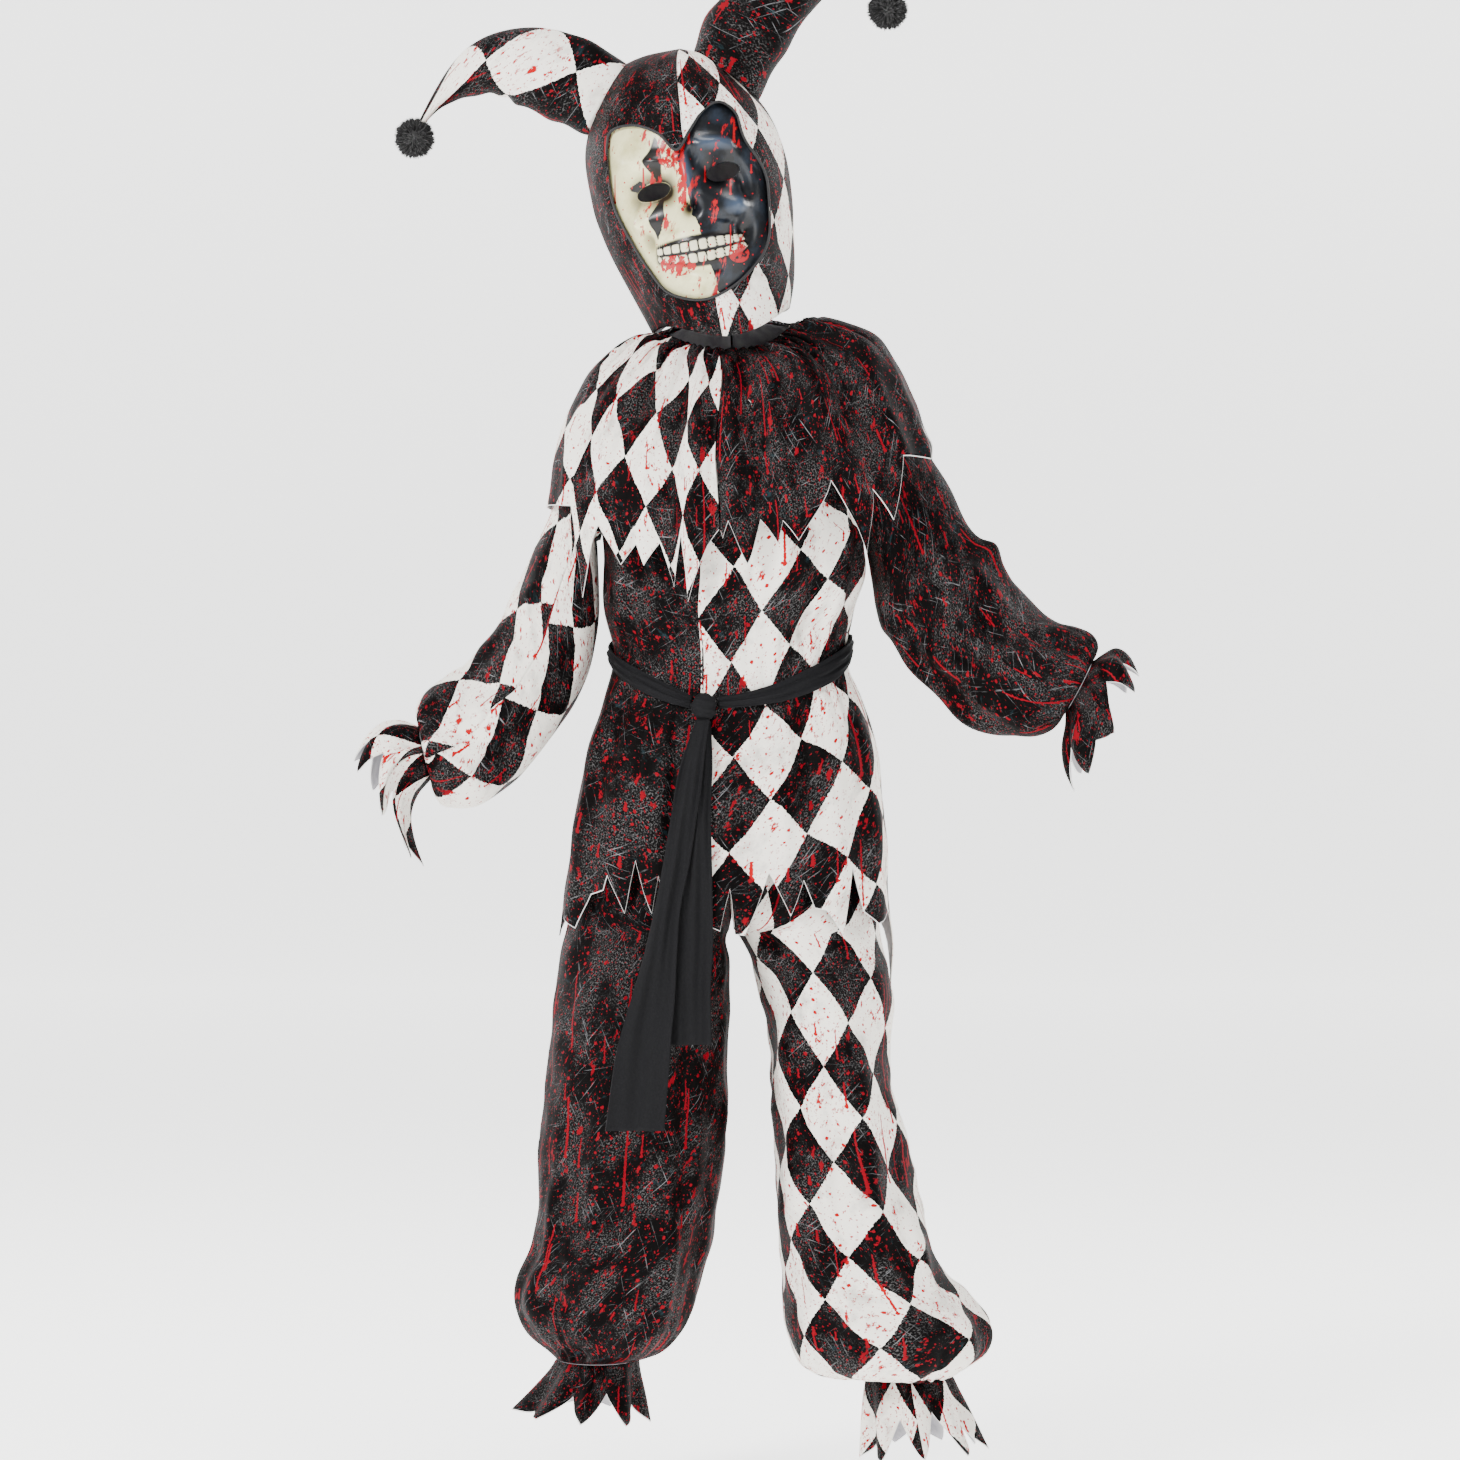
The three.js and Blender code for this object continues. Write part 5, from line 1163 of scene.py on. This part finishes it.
def stuffed_horn(name, rings, cloth, seed, start):
    """A stuffed horn: round rings along a curve, with small wrinkles across its inner bend."""
    place = np.linspace(0, len(rings) - 1, HORN_LEVELS)
    middle, radius = between(rings, place)[:, :3], between(rings, place)[:, 3]
    along = unit(np.gradient(middle, axis=0))
    up = unit(np.cross((0, 1, 0), along))
    side = np.cross(along, up)
    turn = np.linspace(0, 2 * np.pi, HORN_AROUND + 1)[None, :, None]
    ring = np.cos(turn) * up[:, None] + np.sin(turn) * side[:, None]
    points = middle[:, None] + radius[:, None, None] * ring
    pulled = np.sin(place * 5.2 + seed)[:, None] * bell(turn[..., 0] - np.pi, 0.9)
    seam = bell(np.minimum(turn[..., 0], 2 * np.pi - turn[..., 0]), 0.06)
    lift = 0.03 * radius[:, None] * (uneven(points, 45, seed) + 1.1 * pulled) - 0.7 * seam
    points = points + ring * lift[..., None]
    around, down = lengths(points, 1).mean(0), lengths(points, 0)
    uv = (np.stack(np.broadcast_arrays(around[None] * 0.9, down), -1) + np.array(start)) * MM
    made = grid_mesh(name, points * MM, uv)
    main, slot = cloth
    made.data.materials.append(main)
    attribute(made, "hem", np.ones(len(made.data.vertices)))
    close_ends(made)
    turn = np.append(np.linspace(0, 2 * np.pi, HOOD_COLUMNS, endpoint=False), 0)
    head = grid_mesh("head_form", hood_tube(np.arange(len(HOOD))[:, None], turn) * MM)
    close_ends(head)
    cut_away(made, [head])
    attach(made, "root")
    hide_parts(name[:-len("_cloth")])


stuffed_horn("horn_right_cloth", HORN_RIGHT, diamond_print, 3, (12, 20))
stuffed_horn("horn_left_cloth", HORN_LEFT, black_print, 4, (0, 0))


# Pompoms: balls of black acrylic fur on the horns' tips, each a dense round of tapered locks.
POMPOM_PLACES = {"right": (-294, -14, 190), "left": (154, -12, 312)}
POMPOM_REACH_MM = 20
POMPOM_LOCKS = 1500
# A lock's rings: how far out each lies, as a share of the lock, and its radius in mm.
LOCK_RINGS = ((0.15, 1.3), (0.6, 1.2), (0.85, 0.8), (1.0, 0.05))
LOCK_ANGLES = (0, 2.094, 4.189)
# Dull black acrylic fur.
fur = material("black_acrylic_fur", {
    "Base Color": linear("#0B0A0B"), "Roughness": 0.75,
    "Sheen Weight": 0.3, "Sheen Roughness": 0.4})[0]


def pompom(name, place, seed):
    """Three-sided locks from near the middle outwards: each bends a little and ends in a point."""
    random = np.random.default_rng(seed)
    out = unit(random.normal(size=(POMPOM_LOCKS, 3)))
    side = unit(np.cross(out, random.normal(size=out.shape)))
    third = np.cross(out, side)
    reach = POMPOM_REACH_MM * random.uniform(0.86, 1.03, (POMPOM_LOCKS, 1))
    bend = random.normal(scale=1.6, size=(POMPOM_LOCKS, 1))
    rings = []
    for share, width in LOCK_RINGS:
        middle = out * reach * share + side * bend * share ** 2
        for angle in LOCK_ANGLES:
            rings.append(middle + width * (np.cos(angle) * side + np.sin(angle) * third))
    points = np.stack(rings, 1) + np.array(place)
    first = (np.arange(POMPOM_LOCKS) * 12)[:, None]
    faces = [[ring * 3 + k, ring * 3 + (k + 1) % 3, ring * 3 + 3 + (k + 1) % 3, ring * 3 + 3 + k]
             for ring in range(3) for k in range(3)]
    quads = (first[:, None] + np.array(faces)[None]).reshape(-1, 4)
    mesh = bpy.data.meshes.new(name)
    mesh.from_pydata((points.reshape(-1, 3) * MM).tolist(), [], quads.tolist())
    mesh.materials.append(fur)
    made = linked(name, mesh)
    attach(made, "root")
    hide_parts(name[:-len("_fur")])


for seed, (side_name, place) in enumerate(POMPOM_PLACES.items()):
    pompom(f"pompom_{side_name}_fur", place, 70 + seed)


# Mask: a vacuum-formed shell of glossy plastic, held behind the edge of the face opening. One half
# is painted bone and the other black, over a plain skull relief with two rows of teeth.
MASK_MIDDLE = np.array([-36.0, 116.0])
MASK_LAP = 1.09
MASK_INSET_MM = 3.6
MASK_WALL_MM = 2.2
MASK_EDGE = 0.86
MASK_RINGS = 104
MASK_SPOKES = 264
EYES = [(-66, 129), (-2, 148)]
EYE_WIDE_MM = 15.5
EYE_TALL_MM = 8.5
EYE_POINTS = 40
# Forms: the middle's x and z, how far they spread in x and z, and how far they stand out, in mm.
MASK_FORMS = [
    (-66, 129, 19, 14, -16), (-2, 148, 19, 14, -16), (-70, 155, 22, 8, 9), (-8, 173, 22, 8, 9),
    (-36, 140, 9, 22, 9), (-32, 112, 8, 8, -9), (-78, 99, 12, 10, 9), (12, 116, 12, 10, 9),
    (-76, 78, 9, 13, -9), (22, 94, 9, 13, -9), (-27, 74, 34, 15, 7), (-22, 44, 22, 10, 6),
]
# Finer forms: nostrils, the bone between them, the brows' folds, cheek hollows and chin ridges.
MASK_DETAILS = [
    (-35, 112, 4, 6, -4), (-27, 114, 4, 6, -4), (-31, 117, 1.6, 9, 3.5), (-47, 158, 4, 12, -3.5),
    (-30, 163, 4, 12, -3.5), (-86, 116, 5, 12, -4), (22, 134, 5, 12, -4), (-54, 92, 10, 3, -3),
    (2, 104, 9, 3, -3), (-38, 54, 3, 9, -2.4), (-6, 60, 3, 9, -2.4), (-24, 56, 20, 2.5, -2.4),
]
TEETH_FROM = np.array([-64.6, 69.0])
TEETH_TO = np.array([25.1, 84.8])
TEETH_COUNT = 11
TOOTH_TALL_MM = 10.5


def bumps(x, z, forms):
    """The sum of the forms, each out * exp(-(dx / spread x) ** 2 - (dz / spread z) ** 2)."""
    total = np.zeros(x.shape)
    for form_x, form_z, spread_x, spread_z, out in forms:
        total += out * np.exp(-(((x - form_x) / spread_x) ** 2) - ((z - form_z) / spread_z) ** 2)
    return total


def teeth_at(x, z):
    """How much of a tooth and of the mouth lies at x and z, 0 to 1.

    The teeth are two rows of rounded blocks along a bowed line, and the mouth is a band round them.
    """
    line = TEETH_TO - TEETH_FROM
    along = ((x - TEETH_FROM[0]) * line[0] + (z - TEETH_FROM[1]) * line[1]) / (line @ line)
    bow = 3.0 * np.sin(np.pi * np.clip(along, 0, 1))
    off = ((z - TEETH_FROM[1]) * line[0] - (x - TEETH_FROM[0]) * line[1]) / np.linalg.norm(line) + bow
    in_row = np.abs(2 * ((along * TEETH_COUNT + 0.3 * (off < 0)) % 1) - 1)
    tall = TOOTH_TALL_MM * (1 - 0.45 * np.abs(2 * along - 1) ** 2)
    in_height = np.abs(2 * np.abs(off) / tall - 1.1)
    from_end = 0.5 - np.abs(along - 0.5)
    tooth = np.clip(1 - in_row ** 4, 0, 1) * np.clip(1 - in_height ** 4, 0, 1) * (from_end > 0.02)
    mouth = np.clip((1.5 - np.abs(off) / tall) * 6, 0, 1) * np.clip((from_end + 0.03) * 30, 0, 1)
    return tooth, mouth


# Where the paint is splashed: the middle's x and z, how far it spreads and how strong it is.
MASK_SPLASHES = [
    (-52, 168, 12, 18, 1), (-40, 132, 5, 24, 0.9), (-44, 60, 18, 10, 0.9), (14, 72, 12, 10, 0.8),
]
# Lozenges painted on the bone half: the middle's x and z, and half their width and height in mm.
MASK_LOZENGES = [(-66, 156, 9, 26), (-64, 104, 7, 22), (-84, 132, 10, 7), (-30, 84, 5, 3)]


def painted_at(x, z):
    """How far inside a painted lozenge x and z lie: 1 - |dx| / half width - |dz| / half height."""
    inside = [
        1 - np.abs(x - at_x) / wide - np.abs(z - at_z) / tall
        for at_x, at_z, wide, tall in MASK_LOZENGES]
    return np.clip(np.max(inside, axis=0), 0, 1)


# Glossy painted plastic, which reads its relief, teeth and painting from the shell's attributes.
bone_and_black, tree, shader = material("painted_mask_plastic", {
    "Roughness": 0.36, "Specular IOR Level": 0.3, "Coat Weight": 0.12, "Coat Roughness": 0.15})
place = node(tree, "ShaderNodeTexCoord").outputs["Object"]
flat = node(tree, "ShaderNodeSeparateXYZ", None, {0: place})
on_face = node(tree, "ShaderNodeCombineXYZ", None, {0: flat.outputs[0], 1: flat.outputs[2]})
downwards = node(tree, "ShaderNodeVectorMath", {"operation": "MULTIPLY"}, {0: on_face, 1: (1, -1, 0)})
depth, tooth, mouth, paint, zone = (
    node(tree, "ShaderNodeAttribute", {"attribute_name": name}).outputs["Fac"]
    for name in ("relief", "tooth", "mouth", "paint", "splashed"))
# Painted shade: this mask rises from 0 to 1 as the relief sinks from 1.5 to 9 mm, and darkens both halves
# in their hollows.
hollow_shade = node(tree, "ShaderNodeMapRange", None, {0: depth, 1: -1.5, 2: -9.0})
# Painted highlight: this mask rises as the relief stands out from 2 to 9 mm, and lightens the black half
# on its ridges.
ridge_highlight = node(tree, "ShaderNodeMapRange", None, {0: depth, 1: 2.0, 2: 9.0})
wear = marks(tree, downwards, 0.022, 0.030, 0.4, 0.45, 0.8, 3.0)
bone = layered(tree, linear("#E6E2B2"), linear("#BDB682"), wear)
# Painted shade on the bone half: browner where the relief lies low, and near black in the deepest hollows.
shallow_shade = node(tree, "ShaderNodeMapRange", None, {0: depth, 1: 3.0, 2: -4.0, 3: 0.0, 4: 0.55})
bone = layered(tree, bone, linear("#8A7E50"), shallow_shade)
bone = layered(tree, bone, linear("#1E180F"), hollow_shade)
dark = layered(tree, linear("#0B0D11"), linear("#232C38"), wear)
# Painted shade in the black half's hollows, and a painted blue-grey highlight on its ridges.
dark = layered(tree, dark, linear("#020203"), hollow_shade)
dark = layered(tree, dark, linear("#3C495C"), ridge_highlight)
wobble = node(tree, "ShaderNodeTexNoise", {"noise_dimensions": "2D"}, {"Vector": on_face, "Scale": 90.0})
border = node(tree, MATH, "MULTIPLY_ADD", [flat.outputs[2], 0.333, flat.outputs[0]])
border = node(tree, MATH, "MULTIPLY_ADD", [wobble, 0.008, border])
black_half = node(tree, MATH, "GREATER_THAN", [border, 0.0114])
painted = node(tree, "ShaderNodeMapRange", None, {0: paint, 1: 0.0, 2: 0.06})
bone = layered(tree, bone, linear("#0D0B0B"), painted)
colour = layered(tree, bone, dark, black_half)
ivory = node(tree, "ShaderNodeMapRange", None, {0: tooth, 1: 0.35, 2: 0.65})
enamel = layered(tree, linear("#070404"), linear("#DDD6B8"), ivory)
colour = layered(tree, colour, enamel, mouth)
spatter = marks(tree, downwards, 0.005, 0.010, 0.3, 0.44, 0.48, 53.0)
spatter = node(tree, MATH, "MULTIPLY", [spatter, zone])
spatter = node(tree, MATH, "GREATER_THAN", [spatter, 0.35])
splashes = greater(
    tree, spatter, drips(tree, downwards, 0.021, 0.05, 0.0022, 0.03, 0.45, 6.0),
    drips(tree, downwards, 0.008, 0.008, 0.0011, 0.001, 0.4, 13.0),
    marks(tree, downwards, 0.016, 0.050, 0.2, 0.61, 0.64, 19.0))
colour = layered(tree, colour, linear("#A40714"), splashes)
tree.links.new(colour, shader.inputs["Base Color"])

rim = closed_curve(FACE_OPENING, MASK_SPOKES)
share = np.linspace(0.012, 1, MASK_RINGS)[:, None, None]
face = MASK_MIDDLE + (rim - MASK_MIDDLE) * MASK_LAP * share
row, turn = seen_at(hood_tube, face[..., 0], face[..., 1])
mask_base = hood_tube(row, turn)
free = 1 - np.clip((share[..., 0] - MASK_EDGE + 0.12) / 0.12, 0, 1)
teeth, mouth_band = teeth_at(face[..., 0], face[..., 1])
relief = bumps(face[..., 0], face[..., 1], MASK_FORMS) + bumps(face[..., 0], face[..., 1], MASK_DETAILS)
relief = (relief + 2.2 * teeth) * free
mask_normals = normals_of(mask_base, closed=True)
mask_normals *= -np.sign(mask_normals[..., 1:2])
mask_points = (mask_base + mask_normals * (relief - MASK_INSET_MM)[..., None])[:, ::-1]
mask = grid_mesh("mask_plastic_shell", mask_points * MM, None, closed=True)
splashed = np.clip(bumps(face[..., 0], face[..., 1], MASK_SPLASHES), 0, 1)
paint = painted_at(face[..., 0], face[..., 1])
for name, values in (("relief", relief), ("tooth", teeth),
                     ("mouth", mouth_band), ("paint", paint), ("splashed", splashed)):
    attribute(mask, name, values[:, ::-1])
mask.data.materials.append(bone_and_black)
thickened(mask, MASK_WALL_MM)
oval = np.linspace(0, 2 * np.pi, EYE_POINTS, endpoint=False)
eye_cuts = [
    block_through("eye_cut", np.stack([
        x + EYE_WIDE_MM * np.cos(oval),
        z + EYE_TALL_MM * np.sin(oval) + 0.2 * EYE_WIDE_MM * np.cos(oval)], -1))
    for x, z in EYES]
cut_away(mask, eye_cuts)
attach(mask, "root")
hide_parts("mask")


# Sash: a long strip of plain black knit cloth, folded lengthwise and tied at the front, so that its
# stretches go round the waist to a knot, from which a long and a short tail hang free.
SASH_STRETCHES = {
    "sash_front_right": (-100, -12.5, 110), "sash_front_left": (-3, 100, 120),
    "sash_back": (101, 259, 150),
}
SASH_WALL_MM = 2.2
SASH_OUT_MM = 4.2
SASH_CROWN_MM = 1.6
SASH_LEVELS = 22
TAIL_WALL_MM = 1.4
TAIL_LEVELS = 120
TAIL_COLUMNS = 30
# Tails: the height, the right and left edge in x, and y, in mm.
SASH_TAIL_LONG = np.array([
    (-360.4, -26, -14, -107), (-392, -37, -19, -122), (-418, -44, -22, -127),
    (-452, -50, -27, -130), (-493, -57, -33, -131), (-535, -65, -41, -131),
    (-575, -74, -44, -130), (-617, -86, -46, -128), (-651, -96, -49, -127),
    (-680, -102, -51, -126), (-741, -110, -56, -125),
], float)
SASH_TAIL_SHORT = np.array([
    (-362.3, -25, -13, -102), (-400, -29, -12, -114), (-446, -32, -14, -121),
    (-485, -37, -13, -124), (-524, -41, -12, -124), (-571, -45, -11, -122),
    (-612, -48, -13, -120), (-662, -50, -12, -118),
], float)
# Soft black knit cloth.
sash_knit, tree, shader = material("sash_black_knit", {"Roughness": 0.85, "Specular IOR Level": 0.15})
place = node(tree, "ShaderNodeUVMap", {"uv_map": "cloth"}).outputs[0]
knit = node(tree, "ShaderNodeTexNoise", {"noise_dimensions": "2D"}, {
    "Vector": place, "Scale": 500.0, "Detail": 4.0})
tree.links.new(layered(tree, linear("#09090B"), linear("#131315"), knit), shader.inputs["Base Color"])
bump = node(tree, "ShaderNodeBump", None, {"Strength": 0.3, "Distance": 0.0008, "Height": knit})
tree.links.new(bump.outputs[0], shader.inputs["Normal"])


def plain_cloth(name, points, wall_mm):
    """A piece of the sash over a grid of points in mm."""
    uv = np.stack([lengths(points, 1), lengths(points, 0)], -1) * MM
    made = grid_mesh(name, points * MM, uv)
    made.data.materials.append(sash_knit)
    thickened(made, wall_mm)
    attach(made, "root")
    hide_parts(name[:-len("_cloth")])


for name, (first, last, columns) in SASH_STRETCHES.items():
    degrees = np.linspace(first, last, columns)
    sash_z, sash_tall = sash_at(degrees)
    level = np.linspace(-0.5, 0.5, SASH_LEVELS)[:, None]
    turn = np.broadcast_to(np.radians(degrees), (SASH_LEVELS, columns))
    tunic_row = row_at(tunic_tube, sash_z - level * sash_tall, turn)
    base = tunic_tube(tunic_row, turn)
    crown = SASH_CROWN_MM * (1 - (2 * level) ** 2)
    pleats = 0.9 * np.sin(level * 15 + degrees * 0.05) + 0.4 * np.sin(level * 31 - degrees * 0.11)
    out = SASH_OUT_MM + crown + pleats * (1 - (2 * level) ** 4)
    points = base + normals_of(base) * out[..., None]
    plain_cloth(f"{name}_cloth", points, SASH_WALL_MM)

for name, table, wide, length in (
        ("long", SASH_TAIL_LONG, 0.038, 0.39), ("short", SASH_TAIL_SHORT, 0.029, 0.31)):
    row = np.linspace(0, len(table) - 1, TAIL_LEVELS)[:, None]
    across = np.linspace(0, 1, TAIL_COLUMNS)
    z, right_x, left_x, y = np.moveaxis(between(table, row[:, 0]), -1, 0)[..., None]
    hang = np.clip(row / 2, 0, 1)
    fold = 3.4 * np.sin(across * 7.5 + row * 0.5) * hang + 1.4 * np.sin(across * 17 - row * 0.7) * hang
    points = np.stack(np.broadcast_arrays(right_x + (left_x - right_x) * across, y + fold * 0.7, z), -1)
    plain_cloth(f"sash_tail_{name}_cloth", points, TAIL_WALL_MM)

# The knot: the long tail's cloth wraps once round the sash, with its pleats slanting across.
KNOT_PLACE = (-19.5, -101, -349)
KNOT_SIZE = (11.6, 9.2, 13)
KNOT_LEVELS = 40
KNOT_COLUMNS = 64
lift_angle = np.linspace(-np.pi / 2, np.pi / 2, KNOT_LEVELS)[:, None]
round_angle = np.linspace(0, 2 * np.pi, KNOT_COLUMNS, endpoint=False)
ball = np.stack(np.broadcast_arrays(
    np.cos(lift_angle) * np.sin(round_angle), -np.cos(lift_angle) * np.cos(round_angle),
    -np.sin(lift_angle)), -1)
pleat = 0.07 * np.sin(5 * lift_angle + 3 * round_angle) + 0.05 * np.sin(11 * lift_angle - 2 * round_angle)
knot_points = ball * (1 + pleat * np.cos(lift_angle))[..., None] * np.array(KNOT_SIZE) + KNOT_PLACE
knot = grid_mesh("sash_knot_cloth", knot_points * MM, None, closed=True)
knot.data.materials.append(sash_knit)
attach(knot, "root")
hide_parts("sash_knot")
